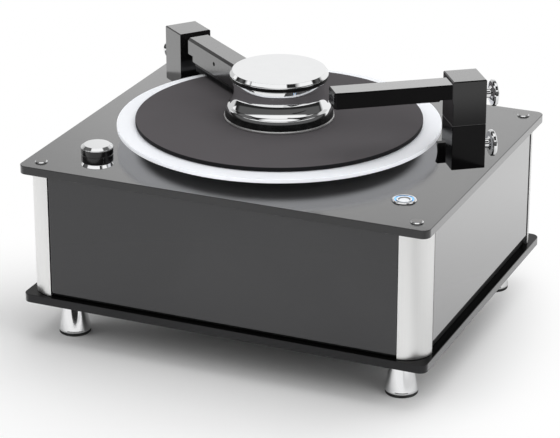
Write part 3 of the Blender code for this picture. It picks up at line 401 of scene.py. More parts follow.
finishes = {
    # By material slot
    "gloss_acrylic": acrylic_finish(),
    # Black sealed fibreboard with a trace of its fibres, set darker still as painted shade for the gap below the
    # panels
    "black_board": plain_finish(
        "black_board", (0.010, 0.010, 0.010), 0.6, (1, 4, (900, 900, 260)),
        ((0.003, 0.003, 0.003), (0.008, 0.0078, 0.0075)), (0.5, 0.2), (0.3, 0.08 * MM)),
    "satin_aluminium": aluminium_finish(),
    "polished_chrome": chrome_finish(),
    "black_anodised": anodised_finish("black_anodised", 1.5, 0.82),
    "pale_acrylic": platter_finish(),
    "dark_mat": mat_finish(),
    "black_rubber": rubber_finish("black_rubber", (0.012, 0.012, 0.012), 0.62),
    # Pile with a soft sheen
    "black_velvet": plain_finish(
        "black_velvet", (0.010, 0.010, 0.011), 1.0, (2600, 3), ((0.006, 0.006, 0.007), (0.020, 0.020, 0.022)),
        None, (0.6, 0.2 * MM), Sheen_Weight=0.5, Sheen_Roughness=0.35, Specular_IOR_Level=0.1),
    # Nylon, a little glossy, some bristles paler
    "black_bristle": plain_finish(
        "black_bristle", (0.014, 0.014, 0.015), 0.38, (1, 2, (1600, 1600, 120)),
        ((0.009, 0.009, 0.010), (0.038, 0.037, 0.038)), (0.30, 0.2), spread=(0.4, 0.75)),
    # Turned and bright, with fine rings from the tool
    "steel": plain_finish(
        "steel", (0.56, 0.56, 0.57), 0.25, (1, 3, (300, 300, 5200)), ((0.50, 0.50, 0.51), (0.62, 0.62, 0.63)),
        (0.18, 0.16), (0.08, 0.02 * MM), Metallic=1),
    "blue_light": light_finish(),
    # Glossy and moulded, pale on its face; the grey on its slopes is painted shade
    "pale_button": two_tone_finish(
        "pale_button", (0.78, 0.82, 0.86), 0.15, (260, 3), [(0.16, 0.165, 0.17)] * 2,
        [(0.76, 0.80, 0.84), (0.84, 0.86, 0.88)], (0.84, 0.96), (0.12, 0.08), Coat_Weight=0.5),
    "grey_polymer": polymer_finish("grey_polymer", (0.045, 0.045, 0.047), 0.5),
    "tank_polymer": polymer_finish("tank_polymer", (0.70, 0.72, 0.72), 0.45),
    "hose_rubber": rubber_finish("hose_rubber", (0.06, 0.06, 0.065), 0.55),
    # For single pieces
    "satin_acrylic": sheet_finish("satin_acrylic", 0.020, 0.14, 1.2, 1.5),
    # The bottom plate: the plate finish much darker and without sheen, as painted shade on its strip below the
    # panels
    "shadow_painted_acrylic": sheet_finish("shadow_painted_acrylic", 0.003, 0.12, 0.0, 1.25),
    "deep_black": anodised_finish("deep_black_anodised", 1.2, 0.05),
    "arm_black": anodised_finish("arm_anodised", 1.15, 1.65, 0.05),
    # The right tower's head, with painted sheen growing upwards
    "sheen_painted_black": anodised_finish("sheen_painted_anodised", 1.2, 0.75, 0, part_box("suction_tower_head")[0].z),
    # Blackened on top, bare and polished round the edge
    "edged_screw": two_tone_finish(
        "edged_screw", (0.3, 0.3, 0.3), 0.12, (1, 3, (500, 500, 2400)),
        [(0.76, 0.765, 0.77), (0.84, 0.845, 0.85)], [(0.24, 0.238, 0.236), (0.29, 0.286, 0.283)],
        (0.90, 0.98), (0.08, 0.06), Metallic=1),
    "puck_rubber": rubber_finish("puck_rubber", (0.004, 0.004, 0.004), 0.28),
    # A near-black band round the puck's rim
    "near_black_band": rubber_finish("near_black_band", (0.003, 0.003, 0.003), 0.4, 0.08),
}
slot_of = {part["node"]: part["material_slot"] for part in frame["record"]["subparts"]}
for name, node in frame["nodes"].items():
    node.data.materials.clear()
    node.data.materials.append(finishes[slot_of[name]])


# Making of pieces

def soften(rows, steps):
    """A profile of (radius, height, rounding) corners, each rounding as an arc of short steps."""
    points = []
    for before, here, after in zip(rows[-1:] + rows[:-1], rows, rows[1:] + rows[:1]):
        corner = Vector(here[:2])
        if not here[2]:
            points.append(corner)
            continue
        back = (Vector(before[:2]) - corner).normalized()
        ahead = (Vector(after[:2]) - corner).normalized()
        half = back.angle(ahead) / 2
        centre = corner + (back + ahead).normalized() * here[2] / math.sin(half)
        start = corner + back * here[2] / math.tan(half) - centre
        end = corner + ahead * here[2] / math.tan(half) - centre
        sweep = start.angle(end)
        for i in range(steps + 1):
            t = i / steps
            reach = start * math.sin((1 - t) * sweep) + end * math.sin(t * sweep)
            points.append(centre + reach / math.sin(sweep))
    return points


def placed(name, data):
    """A new object in the scene."""
    made = bpy.data.objects.new(name, data)
    bpy.context.scene.collection.objects.link(made)
    return made


def show(name, mesh, at, body, node=None, slot=None, finish=None, mirrored=True):
    """Places a mesh, gives it its slot's finish or one of its own, and rides it on its body.

    A piece that isn't mirrored is hidden from reflections.
    """
    mesh.shade_smooth()
    mesh.set_sharp_from_angle(angle=SHARP_ANGLE)
    piece = placed(name, mesh)
    piece.visible_glossy = mirrored
    if isinstance(at, Matrix):
        mesh.transform(at)
    else:
        piece.location = at
    slot = slot or slot_of[node]
    mesh.materials.append(finishes[finish or slot])
    piece.modifiers.new("even_shading", "WEIGHTED_NORMAL").keep_sharp = True
    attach(piece, body)
    if node:
        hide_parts(node)


def finished(work, name):
    """A mesh from a bmesh, its faces turned outwards."""
    bmesh.ops.recalc_face_normals(work, faces=work.faces)
    mesh = bpy.data.meshes.new(name)
    work.to_mesh(mesh)
    work.free()
    return mesh


def skin(work, rings):
    """Faces between each ring of points and the next; a ring may be one point many times."""
    for upper, lower in zip(rings, rings[1:]):
        for i in range(len(upper)):
            k = (i + 1) % len(upper)
            face = []
            for vert in (upper[i], upper[k], lower[k], lower[i]):
                if vert not in face:
                    face.append(vert)
            if len(face) > 2:
                work.faces.new(face)


def lathe(name, profile, steps, closed=False, shape=None):
    """A mesh turned round Z from (radius, height) points; shape may change a point's radius."""
    on_axis = 1e-7
    work = bmesh.new()
    rings = []
    for radius, height in profile:
        if radius < on_axis:
            rings.append([work.verts.new((0, 0, height))] * steps)
            continue
        ring = []
        for i in range(steps):
            turn = 2 * math.pi * i / steps
            r = shape(radius, height, turn) if shape else radius
            ring.append(work.verts.new((r * math.cos(turn), r * math.sin(turn), height)))
        rings.append(ring)
    skin(work, rings + rings[:1] if closed else rings)
    return finished(work, name)


def turned(name, rows, at, body, node=None, steps=128, arc_steps=5, closed=False, shape=None, **looks):
    """Shows a turned piece; rows are its profile's corners in millimetres, as soften takes them."""
    profile = soften([[v * MM for v in row] for row in rows], arc_steps)
    show(name, lathe(node or name, profile, steps, closed, shape), at, body, node, **looks)


def turned_size(node, ground=0):
    """Radius, bottom and top of a turned CAD node in millimetres, heights above the ground given."""
    low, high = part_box(node)
    return (high.x - low.x) / 2 / MM, (low.z - ground) / MM, (high.z - ground) / MM


def extruded(points, along):
    """A bmesh of the solid that an outline leaves on its way along a vector."""
    work = bmesh.new()
    face = work.faces.new([work.verts.new(point) for point in points])
    made = bmesh.ops.extrude_face_region(work, geom=[face])["geom"]
    raised = [part for part in made if isinstance(part, bmesh.types.BMVert)]
    bmesh.ops.translate(work, verts=raised, vec=along)
    bmesh.ops.recalc_face_normals(work, faces=work.faces)
    return work


def prism(name, outline, thickness, bevel, segments=3):
    """An outline in the XY plane, as thick along Z about that plane, with bevelled edges."""
    work = extruded([(x, y, -thickness / 2) for x, y in outline], (0, 0, thickness))
    edges = [edge for edge in work.edges if edge.calc_face_angle(0) > BEVEL_ANGLE]
    bmesh.ops.bevel(work, geom=edges, offset=bevel, segments=segments, profile=0.5, affect="EDGES")
    return finished(work, name)


def beam(name, outline, thickness, cuts):
    """An outline in the XZ plane, as thick along Y about that plane.

    Each cut is a chamfer's test, which the middle of an edge has to pass, and its width.
    """
    work = extruded([(x, -thickness / 2, z) for x, z in outline], (0, thickness, 0))
    for test, width in cuts:
        edges = [edge for edge in work.edges if edge.calc_face_angle(0) > CHAMFER_ANGLE
                 and test((edge.verts[0].co + edge.verts[1].co) / 2)]
        bmesh.ops.bevel(work, geom=edges, offset=width, segments=1, affect="EDGES")
    return finished(work, name)


def rod(place, radius, start, end):
    """A cutter for a round hole along the place's Z."""
    mesh = lathe("rod", [(0, start), (radius, start), (radius, end), (0, end)], 48)
    mesh.transform(place)
    return mesh


def welded(source, reach):
    """The mesh of an object after its modifiers, doubled points joined; the object is removed."""
    bpy.context.view_layer.update()
    shaped = source.evaluated_get(bpy.context.evaluated_depsgraph_get())
    work = bmesh.new()
    work.from_mesh(bpy.data.meshes.new_from_object(shaped))
    bmesh.ops.remove_doubles(work, verts=work.verts, dist=reach)
    name = source.name
    bpy.data.objects.remove(source)
    return finished(work, name)


def carved(mesh, cutters):
    """A mesh with other meshes cut out of it."""
    block = placed(mesh.name, mesh)
    tools = [placed("cutter", cutter) for cutter in cutters]
    for tool in tools:
        cut = block.modifiers.new("cut", "BOOLEAN")
        cut.object = tool
        cut.solver = "EXACT"
    result = welded(block, reach=1e-6)
    for tool in tools:
        bpy.data.objects.remove(tool)
    return result


def arc(centre, radius, start, end, count):
    turns = [start + (end - start) * i / count for i in range(count + 1)]
    return [(centre[0] + radius * math.cos(t), centre[1] + radius * math.sin(t)) for t in turns]


def local_box(node, place):
    """Lowest and highest corner of a CAD node in another frame."""
    inverse = place.inverted()
    points = [inverse @ v.co for v in frame["nodes"][node].data.vertices]
    return [Vector(end(p[i] for p in points) for i in range(3)) for end in (min, max)]


def middle_of(node):
    low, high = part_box(node)
    return (low + high) / 2


# Housing

def make_plates():
    """Both plates with slightly eased edges and their drilled holes, each as x, y and its radius."""
    ease = 0.55 * MM
    corner_radius = 8 * MM
    bores = {"platter_spin": 16.3, "suction_swivel": 12.8, "brush_swivel": 12.8, "knob_turn": 3.4}
    feet = [(*middle_of(f"{corner}_foot").xy, 3.3) for corner in corners]
    drilled = [(*middle_of(f"{corner}_screw").xy, 2.8) for corner in corners]
    drilled += [(*joint_at[joint].xy, radius) for joint, radius in bores.items()]
    drilled.append((*middle_of("button_bezel").xy, 10.4))
    for node, name, holes, finish in (("bottom_plate", "bottom_sheet", feet, "shadow_painted_acrylic"),
                                      ("top_plate", "top_sheet", drilled, "satin_acrylic")):
        low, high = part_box(node)
        curve = bpy.data.curves.new(node + "_outline", "CURVE")
        curve.dimensions = "2D"
        curve.fill_mode = "BOTH"
        curve.extrude = (high.z - low.z) / 2 - ease
        curve.bevel_depth = ease
        curve.bevel_resolution = 2
        curve.offset = -ease
        outline = []
        for turn, corner in enumerate(corners_in_turn):
            sx, sy = corners[corner]
            centre = ((low.x + high.x) / 2 + sx * ((high.x - low.x) / 2 - corner_radius),
                      (low.y + high.y) / 2 + sy * ((high.y - low.y) / 2 - corner_radius))
            outline += arc(centre, corner_radius, turn * 90 * DEG, (turn + 1) * 90 * DEG, 16)
        loops = [arc((x, y), radius * MM, 0, 2 * math.pi, 48)[:-1] for x, y, radius in holes]
        for loop in [outline, *loops]:
            spline = curve.splines.new("POLY")
            spline.points.add(len(loop) - 1)
            for point, (x, y) in zip(spline.points, loop):
                point.co = (x, y, 0, 1)
            spline.use_cyclic_u = True
        mesh = welded(placed(node, curve), reach=1e-5)
        show(name, mesh, (0, 0, (low.z + high.z) / 2), "housing", node, finish=finish)


def make_posts():
    """Quarter-round posts with a fine curve and eased ends."""
    notch = 10 * MM
    for turn, corner in enumerate(corners_in_turn):
        node = f"{corner}_post"
        low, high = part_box(node)
        sx, sy = corners[corner]
        inner = (low.x if sx > 0 else high.x, low.y if sy > 0 else high.y)
        outline = arc((0, 0), high.x - low.x, 0, 90 * DEG, 48) + [(0, notch), (notch, notch), (notch, 0)]
        mesh = prism(node, outline, high.z - low.z, 0.3 * MM, 2)
        place = Matrix.Translation((*inner, (low.z + high.z) / 2)) @ Matrix.Rotation(turn * 90 * DEG, 4, "Z")
        show(f"{corner}_column_profile", mesh, place, "housing", node)


def make_plate_screws():
    """Low plain heads with a polished chamfer, dark like the plate they hold."""
    for corner in corners:
        node = f"{corner}_screw"
        radius, bottom, top = turned_size(node, deck)
        rows = [(0, top, 0), (radius - 0.9, top, 0.2), (radius, top - 0.7, 0.2), (radius, seat_gap, 0),
                (2.5, seat_gap, 0), (2.5, bottom, 0.4), (0, bottom, 0)]
        at = (*middle_of(node).xy, deck)
        turned(f"{corner}_cap_screw", rows, at, "housing", node, 64, finish="edged_screw")


def make_feet():
    """Turned cones: a small collar under the plate, a plain flank and a chamfered foot."""
    under = plate_low.z / MM - seat_gap
    for corner in corners:
        node = f"{corner}_foot"
        radius, bottom, top = turned_size(node)
        rows = [(0, top, 0), (3.0, top, 0.4), (3.0, under, 0), (8.0, under, 0.3), (8.0, under - 1.6, 0.2),
                (8.35, under - 2.0, 0.2), (radius - 0.15, bottom + 2.2, 0.4), (radius, bottom + 1.6, 0.3),
                (radius, bottom, 0.5), (0, bottom, 0)]
        at = (*middle_of(node).xy, 0)
        turned(f"{corner}_cone", rows, at, "housing", node, 96)
        node = f"{corner}_foot_pad"
        radius, _, top = turned_size(node)
        rows = [(0, top, 0), (radius, top, 0.4), (radius, 0, 0.8), (0, 0, 0)]
        turned(f"{corner}_rubber", rows, at, "housing", node, 96)


# Platter, mat and puck

def make_platter():
    at = (*joint_at["platter_spin"].xy, 0)
    for node, name, rounding in (("platter", "turntable", 0.8), ("platter_mat", "felt", 0.7)):
        radius, bottom, top = turned_size(node)
        rows = [(pin_hole, top, 0.2), (radius, top, rounding), (radius, bottom, rounding),
                (pin_hole, bottom, 0)]
        turned(name, rows, at, "platter", node, 256, closed=True)
    _, bottom, top = turned_size("spindle")
    flange_low, flange_high = deck / MM + 5.7, deck / MM + 11.7
    rows = [(0, top, 0), (2.4, top, 0.5), (3.6, top - 2.4, 0.6), (3.6, flange_high, 0),
            (30, flange_high, 0.3), (30, flange_low, 0.3), (8, flange_low, 0), (8, bottom, 0.5),
            (0, bottom, 0)]
    turned("record_pin", rows, at, "platter", "spindle", 96)


def make_puck():
    """The chrome weight: flat top, bevelled rim, upright neck, hollow waist and a steep flange."""
    at = (*joint_at["platter_spin"].xy, 0)
    _, bottom, top = turned_size("record_puck")
    # Radius, depth below the top, rounding
    profile = [(0, 0, 0), (43.9, 0, 0.2), (45.9, 2.9, 0.4), (46.2, 3.6, 0.2), (46.2, 4.1, 0.2),
               (45.5, 4.5, 0.1), (45.5, 8.0, 0.1), (43.6, 8.9, 0.1), (43.6, 13.3, 0.2), (42.6, 14.2, 0)]
    # Depth, and the flank's lean outwards there in degrees
    slopes = [(14.2, 0), (18.8, 0.5), (22.3, 3.8), (24.5, 10), (28.6, 21), (32.5, 29.5), (33.0, 45),
              (34.4, 52), (35.4, 20), (top - bottom, 14)]
    radius = profile[-1][0]
    count = 10
    for (depth, lean), (next_depth, next_lean) in zip(slopes, slopes[1:]):
        part = (next_depth - depth) / count
        for i in range(count):
            radius += part * math.tan((lean + (next_lean - lean) * (i + 0.5) / count) * DEG)
            profile.append((radius, depth + part * (i + 1), 0))
    rows = [(r, top - depth, rounding) for r, depth, rounding in profile]
    rows += [(pin_hole, bottom, 0), (pin_hole, bottom + 9.5, 0), (0, bottom + 9.5, 0)]
    turned("chrome_weight", rows, at, "puck", "record_puck", 192, 6)
    # A near-black band round the rim, below the bevel
    rows = [(45.4, top - 4.6, 0), (46.1, top - 4.6, 0.2), (46.2, top - 7.3, 0.5), (45.4, top - 7.9, 0.2)]
    turned("puck_band", rows, at, "puck", steps=192, closed=True, slot="black_rubber", finish="near_black_band")
    _, bottom, top = turned_size("puck_seal")
    rows = [(pin_hole, top, 0), (49.8, top, 0.2), (51.2, bottom + 2.5, 0), (51.0, bottom + 0.3, 0),
            (pin_hole, bottom + 0.3, 0)]
    turned("sealing_skirt", rows, at, "puck", "puck_seal", 192, closed=True, finish="puck_rubber")
    rows = [(50.9, bottom + 2.3, 0), (51.5, bottom + 2.2, 0.3), (51.9, bottom + 1.2, 0.4),
            (51.9, bottom, 0.2), (50.9, bottom, 0)]
    turned("puck_foot_ring", rows, at, "puck", steps=192, closed=True, slot="satin_aluminium")


# Towers and arms

def make_thumb_screws():
    """Turned discs on flared necks; each sits on a block's outer face, its axis along the joint's."""
    for node, body, neck in (("upper_thumb_screw", "upper_screw", 9.0),
                             ("lower_thumb_screw", "lower_screw", 9.0),
                             ("brush_thumb_screw", "brush_screw", 11.2)):
        joint = body + "_turn"
        along = joint_axis[joint].to_track_quat("Z", "Y").to_matrix().to_4x4()
        rows = [(0, neck + 4.3, 0), (7.6, neck + 4.3, 0.5), (8.4, neck + 4.6, 0.4), (11.0, neck + 4.6, 0.5),
                (12.2, neck + 3.4, 0.5), (12.2, neck + 1.2, 0.5), (11.0, neck, 0.5), (6.4, neck, 0.6),
                (4.2, neck - 1.4, 0.8), (4.2, seat_gap, 0.3), (2.5, seat_gap, 0), (2.5, -7.0, 0.5),
                (0, -7.0, 0)]
        place = Matrix.Translation(joint_at[joint]) @ along
        turned(node.replace("thumb_screw", "clamp_knob"), rows, place, body, node, 96, mirrored=False)


def make_towers():
    """Chamfered blocks, hollow where their columns, tubes and screws go in.

    Each has the chamfer of its top, and the radius and depth of its bores from below.
    """
    for node, place, body, joint, crown, bores, finish in (
            ("suction_tower_base", suction_frame, "suction_base", "lower_screw_turn", 0.4,
             ((7.1, 60), (8.5, 10.3)), "deep_black"),
            ("suction_tower_head", suction_frame, "suction_head", "upper_screw_turn", 0.9,
             ((7.1, 14.6),), "sheen_painted_black"),
            ("brush_tower", brush_frame, "brush_head", "brush_screw_turn", 0.9, ((8.5, 42.4),), None)):
        low, high = local_box(node, place)
        outline = [(low.x, low.z), (high.x, low.z), (high.x, high.z), (low.x, high.z)]
        cuts = [
            (lambda m: m.z > high.z - 0.1 * MM, crown * MM),
            (lambda m: m.z < high.z - 2 * MM, 0.4 * MM),
        ]
        mesh = beam(node, outline, high.y - low.y, cuts)
        cutters = [rod(Matrix(), radius * MM, low.z - MM, low.z + depth * MM) for radius, depth in bores]
        at = place.inverted() @ joint_at[joint]
        across = Matrix.Translation(at) @ Matrix.Rotation(math.copysign(90 * DEG, at.x), 4, "Y")
        cutters.append(rod(across, 2.9 * MM, -7.5 * MM, MM))
        show(node + "_block", carved(mesh, cutters), place, body, node, finish=finish, mirrored=False)


def make_arms():
    """Beams with chamfered upper edges; each is deeper beyond its root."""
    for node, place, body, root, rail, chamfer in (
            ("suction_arm", suction_frame, "suction_head", 12.2, 1.3, 1.0),
            ("brush_arm", brush_frame, "brush_head", 9.7, 5.8, 2.3)):
        low, high = local_box(node, place)
        sucking = node == "suction_arm"
        start, end = (high.x, low.x) if sucking else (low.x, high.x)
        step = start + math.copysign(root * MM, end - start)
        under = low.z + rail * MM
        outline = [(start, under), (step, under), (step, low.z), (end, low.z), (end, high.z), (start, high.z)]
        half = (high.y - low.y) / 2
        near = 0.1 * MM
        cuts = [
            (lambda m: m.z > high.z - near and (m.y < near - half or abs(m.x - end) < near), chamfer * MM),
            (lambda m: m.y < near - half and abs(m.x - end) < near, 2.2 * MM),
            (lambda m: True, 0.45 * MM),
        ]
        mesh = beam(node, outline, 2 * half, cuts)
        middle_y = (low.y + high.y) / 2
        mesh.transform(Matrix.Translation((0, middle_y, 0)))
        if sucking:
            lips = local_box("suction_lips", suction_frame)
            work = bmesh.new()
            bar(work, Vector((lips[0].x + 3 * MM, middle_y - 2 * MM, low.z - MM)),
                Vector((lips[1].x - 3 * MM, middle_y + 2 * MM, low.z + 6 * MM)), 0.1 * MM)
            cutter = finished(work, "slot")
        else:
            screw = local_box("arm_screw", brush_frame)
            hole = Vector(((screw[0].x + screw[1].x) / 2, low.y, (screw[0].z + screw[1].z) / 2))
            facing = Matrix.Translation(hole) @ Matrix.Rotation(90 * DEG, 4, "X")
            cutter = rod(facing, 2.1 * MM, -6.4 * MM, MM)
            rows = [(0, -1.9, 0), (1.0, -1.9, 0), (1.0, -0.8, 0.1), (1.9, -0.8, 0.3), (1.9, -6, 0),
                    (0, -6, 0)]
            turned("arm_bolt", rows, place @ facing, body, "arm_screw", 40, finish="black_anodised")
        show(node + "_beam", carved(mesh, [cutter]), place, body, node,
             finish="arm_black" if sucking else None, mirrored=not sucking)


def make_guide():
    """The guide on the tower's inner face, with a finely hollowed end."""
    low, high = local_box("rim_guide", suction_frame)
    half = (high.z - low.z) / 2
    hollow = 1.7 * MM
    radius = (half ** 2 + hollow ** 2) / (2 * hollow)
    sweep = math.asin(half / radius)
    outline = [(high.x, -half), (high.x, half)]
    outline += arc((low.x + hollow - radius, 0), radius, sweep, -sweep, 28)
    mesh = prism("rim_guide", outline, high.y - low.y, 0.35 * MM)
    place = suction_frame @ Matrix.Translation((0, (low.y + high.y) / 2, (low.z + high.z) / 2))
    place = place @ Matrix.Rotation(90 * DEG, 4, "X")
    show("hollow_guide", mesh, place, "suction_base", "rim_guide", finish="deep_black", mirrored=False)


def strand(work, root, tip, radius, taper, sides, joints, bow=(0, 0)):
    """One fibre from root to tip, thinner at its tip and bowed sideways at its middle."""
    rings = []
    for j in range(joints + 1):
        t = j / joints
        centre = root.lerp(tip, t) + Vector((*bow, 0)) * math.sin(math.pi * t)
        r = radius * (1 - (1 - taper) * t)
        circle = arc(centre, r, 0, 2 * math.pi, sides)[:-1]
        rings.append([work.verts.new((x, y, centre.z)) for x, y in circle])
    skin(work, rings)
    for end in (rings[0], rings[-1]):
        work.faces.new(end)


def bar(work, low, high, bevel):
    """A box with rounded edges, added to a bmesh."""
    place = Matrix.Translation((low + high) / 2) @ Matrix.Diagonal((*(high - low), 1))
    verts = bmesh.ops.create_cube(work, size=1, matrix=place)["verts"]
    edges = list(dict.fromkeys(edge for vert in verts for edge in vert.link_edges))
    bmesh.ops.bevel(work, geom=edges, offset=bevel, segments=2, profile=0.5, affect="EDGES")


def make_brush():
    """A backing strip full of fine bristles, in staggered rows, under the left arm."""
    low, high = local_box("arm_brush", brush_frame)
    backing = 2.2 * MM
    work = bmesh.new()
    bar(work, Vector((low.x, low.y, high.z - backing)), high, 0.3 * MM)
    draw = random.Random(11)
    rows, columns = 9, 120
    margin, tip_margin = 0.7 * MM, 0.2 * MM
    for row in range(rows):
        for column in range(columns):
            x = low.x + margin + (high.x - low.x - 2 * margin) * (column + 0.5 * (row % 2)) / (columns - 0.5)
            y = low.y + margin + (high.y - low.y - 2 * margin) * row / (rows - 1)
            root = Vector((x, y, high.z - backing + 0.1 * MM))
            lean = Vector((draw.uniform(-0.35, 0.35), draw.uniform(-0.45, 0.45), draw.uniform(0, 0.25))) * MM
            tip = Vector((x, y, low.z)) + lean
            tip.x = min(max(tip.x, low.x + tip_margin), high.x - tip_margin)
            tip.y = min(max(tip.y, low.y + tip_margin), high.y - tip_margin)
            bow = (draw.uniform(-0.12, 0.12) * MM, draw.uniform(-0.12, 0.12) * MM)
            strand(work, root, tip, 0.24 * MM, 0.45, 4, 3, bow)
    show("record_brush", finished(work, "arm_brush"), brush_frame, "brush_head", "arm_brush")


def make_lips():
    """Two velvet strips beside the suction slot, with their pile standing down."""
    low, high = local_box("suction_lips", suction_frame)
    work = bmesh.new()
    slot, end_block, pile = 2 * MM, 4 * MM, 0.8 * MM
    tufts = 900
    middle = (low.y + high.y) / 2
    draw = random.Random(23)
    for y_low, y_high in ((low.y, middle - slot), (middle + slot, high.y)):
        bar(work, Vector((low.x, y_low, low.z + pile)), Vector((high.x, y_high, high.z)), 0.5 * MM)
        for _ in range(tufts):
            x = draw.uniform(low.x + 0.5 * MM, high.x - 0.5 * MM)
            y = draw.uniform(y_low + 0.35 * MM, y_high - 0.35 * MM)
            root = Vector((x, y, low.z + pile + 0.2 * MM))
            tip = Vector((x + draw.uniform(-0.2, 0.2) * MM, y + draw.uniform(-0.2, 0.2) * MM,
                          low.z + draw.uniform(0, 0.15) * MM))
            strand(work, root, tip, 0.10 * MM, 0.4, 3, 1)
    for x in (low.x, high.x - end_block):
        bar(work, Vector((x, middle - slot, low.z + pile)), Vector((x + end_block, middle + slot, high.z)),
            0.3 * MM)
    show("velvet_lips", finished(work, "suction_lips"), suction_frame, "suction_head", "suction_lips")


# Controls

def make_knob():
    """Chrome ring, black grip with a groove and a pointer line, and a bevelled chrome cap."""
    at = (*joint_at["knob_turn"].xy, deck)
    radius, bottom, top = turned_size("knob_base", deck)
    rows = [(3.4, top, 0), (radius - 1.5, top, 0.1), (radius, bottom + 0.3, 0.1), (radius, bottom, 0),
            (3.4, bottom, 0)]
    turned("knob_seat", rows, at, "housing", "knob_base", closed=True, mirrored=False)

    radius, cap_bottom, cap_top = turned_size("knob_cap", deck)
    bottom, top = top + running_gap, cap_bottom - seat_gap
    groove = bottom + 7.5
    pointer, pointer_half, pointer_depth = -38 * DEG, 2.0 * DEG, 0.5 * MM

    def line(r, height, turn):
        away = abs((turn - pointer + math.pi) % (2 * math.pi) - math.pi)
        marked = (bottom + 0.2) * MM < height < groove * MM and r > 10 * MM
        return r - pointer_depth if marked and away < pointer_half else r

    rows = [(0, top, 0), (radius, top, 0.25), (radius, groove + 0.35, 0.15), (radius - 0.5, groove + 0.2, 0),
            (radius - 0.5, groove - 0.2, 0), (radius, groove - 0.35, 0.15), (radius, bottom + 0.8, 0.2),
            (radius - 0.8, bottom, 0.2), (3, bottom, 0), (3, -18, 0.3), (0, -18, 0)]
    turned("knob_barrel", rows, at, "knob", "knob_grip", 360, 3, shape=line, mirrored=False)
    rows = [(0, cap_top, 0), (radius - 2.9, cap_top, 0.35), (radius, cap_bottom + 0.6, 0.5),
            (radius, cap_bottom, 0.1), (0, cap_bottom, 0)]
    turned("knob_crown", rows, at, "knob", "knob_cap", mirrored=False)


def make_button():
    """Chrome bezel with a sloping rim, the lit ring set low in it and the dished cap."""
    at = (*middle_of("button_bezel").xy, deck)
    radius, _, top = turned_size("button_bezel", deck)
    rows = [(8.95, top, 0.1), (radius - 0.5, top - 0.1, 0.3), (radius, 0.7, 0.2), (radius, seat_gap, 0),
            (10.1, seat_gap, 0), (10.1, -13.5, 0.2), (8.95, -13.5, 0.2)]
    turned("button_collar", rows, at, "housing", "button_bezel", closed=True)
    _, bottom, top = turned_size("button_light_ring", deck)
    rows = [(8.05, top - 0.3, 0.1), (8.8, top - 0.3, 0.1), (8.8, bottom, 0), (8.05, bottom, 0)]
    turned("light_ring", rows, at, "housing", "button_light_ring", closed=True)
    _, bottom, top = turned_size("button_cap", deck)
    rows = [(0, top - 0.85, 0), (4.4, top - 0.8, 0.3), (5.6, top, 0.2), (7.1, top, 0.2),
            (7.3, top - 0.3, 0.1), (7.3, top - 4.0, 0), (2.2, top - 4.0, 0), (2.2, bottom, 0), (0, bottom, 0)]
    turned("push_cap", rows, at, "button", "button_cap")


def make_inlet_details():
    """Three flat pins in the inlet's socket and the two screws of its flange."""
    low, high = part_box("mains_inlet")
    x, z = (low.x + high.x) / 2, (low.z + high.z) / 2
    half_pin = Vector((1.0, 6.5, 2.0)) * MM
    work = bmesh.new()
    for dx, dz in ((-7, -1.6), (0, 2.4), (7, -1.6)):
        centre = Vector((x + dx * MM, high.y - 12 * MM, z + dz * MM))
        bar(work, centre - half_pin, centre + half_pin, 0.3 * MM)
    show("inlet_pins", finished(work, "inlet_pins"), (0, 0, 0), "housing", slot="steel")
    rows = [(0, 0.5, 0), (0.9, 0.5, 0), (1.2, 0.9, 0.1), (2.2, 0.7, 0.3), (2.6, 0, 0.1), (0, 0, 0)]
    for name, side in (("inlet_screw_left", -1), ("inlet_screw_right", 1)):
        place = Matrix.Translation((x + side * 20 * MM, high.y, z)) @ Matrix.Rotation(-90 * DEG, 4, "X")
        turned(name, rows, place, "housing", steps=32, slot="steel")


for name in ("suction_column", "lift_tube", "brush_column"):
    frame["nodes"][name].visible_glossy = False
make_plates()
make_posts()
make_plate_screws()
make_feet()
make_platter()
make_puck()
make_towers()
make_arms()
make_thumb_screws()
make_guide()
make_brush()
make_lips()
make_knob()
make_button()
make_inlet_details()


# Floor, light and camera

def make_floor():
    """A pale round floor that turns white behind the machine and far from it.

    Reflections show it darker along the machine's right side: painted shadow of the machine, for mirrored rays
    only.
    """
    work = bmesh.new()
    bmesh.ops.create_circle(work, cap_ends=True, segments=128, radius=floor_radius)
    floor = placed("floor", finished(work, "floor"))
    material = bpy.data.materials.new("pale_floor")
    material.use_nodes = True
    material.node_tree.nodes.clear()
    shading = Shading(material.node_tree)
    place = shading.place()
    depth = shading.dot(place, to_camera) * -1
    aside = shading.dot(place, to_right)
    away = shading.length(place) + 0.6 * shading.highest(aside, 0)
    rays = shading.rays()
    fade = shading.highest(shading.step(depth, -0.07, 0.19), shading.step(away, 0.25, 0.46))
    paint = shading.node("BsdfDiffuse", {"Color": (0.85, 0.85, 0.85, 1)})
    white = shading.node("Emission", {"Color": (1, 1, 1, 1), "Strength": 1})
    mixed = shading.blend(shading.highest(*rays) * fade, paint, white)
    # Painted shadow: mirrored rays see the floor darker beside the machine's right side
    beside = shading.step(aside, 0.12, 0.22) * (1 - shading.step(aside, 0.24, 0.46))
    shade = shading.node("Emission", {"Color": (0, 0, 0, 1), "Strength": 0})
    mixed = shading.blend(0.25 * rays[1] * beside, mixed, shade)
    shading.node("OutputMaterial", {"Surface": mixed})
    floor.data.materials.append(material)


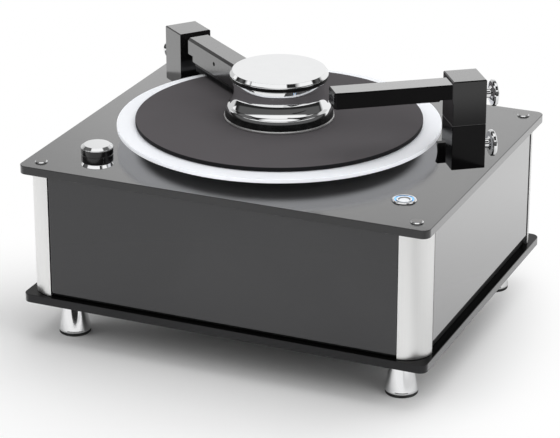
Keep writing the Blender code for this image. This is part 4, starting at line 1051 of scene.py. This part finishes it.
def make_surroundings():
    """White for the camera; for reflections a dark room with a bright back wall and soft boxes.

    The room is painted round the photograph's view: height is the sine of the angle upwards, and turn
    the degrees to the right of the direction to the camera.
    """
    world = bpy.data.worlds.new("studio")
    bpy.context.scene.world = world
    world.use_nodes = True
    world.node_tree.nodes.clear()
    shading = Shading(world.node_tree)
    step, band, highest = shading.step, shading.band, shading.highest
    towards = shading.node("TexCoord", {}, "Generated")
    height = shading.dot(towards, (0, 0, 1))
    ahead = shading.dot(towards, to_camera)
    right = shading.dot(towards, to_right)
    turn = shading.math("ARCTAN2", right, ahead) * (1 / DEG)

    # The wall behind the machine, dimmer upwards and to the left
    behind = highest(step(turn, 112, 124), step(turn, -126, -134))
    wall = (1.02 - 0.27 * step(height, 0.345, 0.40)) * (1 - 0.28 * step(right, -0.05, -0.12))
    back = behind * wall * (1 - 0.85 * step(height, 0.60, 0.72))

    # Soft boxes: two before the machine, one on each side, one overhead
    rise = 0.10 * step(height, -0.02, 0.08) + 0.90 * step(height, 0.41, 0.47)
    boxes = 1.1 * highest(
        band(turn, -78, 22, 2) * rise * (1 - step(height, 0.79, 0.85)),
        band(turn, -92, 70, 5) * rise * (1 - step(height, 0.57, 0.61)),
        band(turn, 46, 92, 2) * band(height, 0.47, 0.70, 0.03),
        band(turn, -134, -122, 2) * band(height, 0.05, 0.40, 0.03),
        step(height, 0.90, 0.94))

    # What faint light the rest of the room has, above the back wall and low in front
    dim = 0.022 + 0.12 * step(height, 0.58, 0.64) * step(ahead, 0.0, -0.1)
    dim = dim + 0.09 * band(height, 0.03, 0.46, 0.04) * step(ahead, -0.45, -0.25)

    seen, mirrored, through = shading.rays()
    room = highest(mirrored, through) * highest(back, boxes, dim)
    diffuse = 1 - highest(seen, mirrored, through)
    strength = seen + (1 - seen) * room + diffuse * fill_light
    ground = shading.node("Background", {"Color": (1, 1, 1, 1), "Strength": strength})
    shading.node("OutputWorld", {"Surface": ground})


def make_lamp(name, at, towards, size, power):
    """A soft box for the diffuse light; reflections show the surroundings instead."""
    lamp = bpy.data.lights.new(name, "AREA")
    lamp.shape = "SQUARE"
    lamp.size = size
    lamp.energy = power
    box = placed(name, lamp)
    box.location = at
    box.rotation_euler = (Vector(towards) - Vector(at)).to_track_quat("-Z", "Y").to_euler()
    box.visible_glossy = False
    box.visible_camera = False


def make_camera():
    lens = bpy.data.cameras.new("camera")
    lens.lens = camera_lens
    lens.sensor_width = 36
    camera = placed("camera", lens)
    camera.location = Vector((plate_middle, 0, deck)) + Vector(camera_offset)
    camera.rotation_euler = (90 * DEG - camera_pitch, 0, camera_turn)
    bpy.context.scene.camera = camera


floor_radius = 1.3
fill_light = 0.46
make_floor()
make_surroundings()
make_lamp("overhead_box", (0.2, 0.3, 2.2), (0, 0, 0.15), 2.0, 26)
make_lamp("left_box", (-1.9, -1.3, 1.3), (0, 0, 0.15), 1.4, 16)
make_lamp("right_box", (1.9, -0.6, 1.2), (0, 0, 0.12), 1.4, 17)
make_camera()
bpy.context.scene.view_settings.view_transform = "Standard"
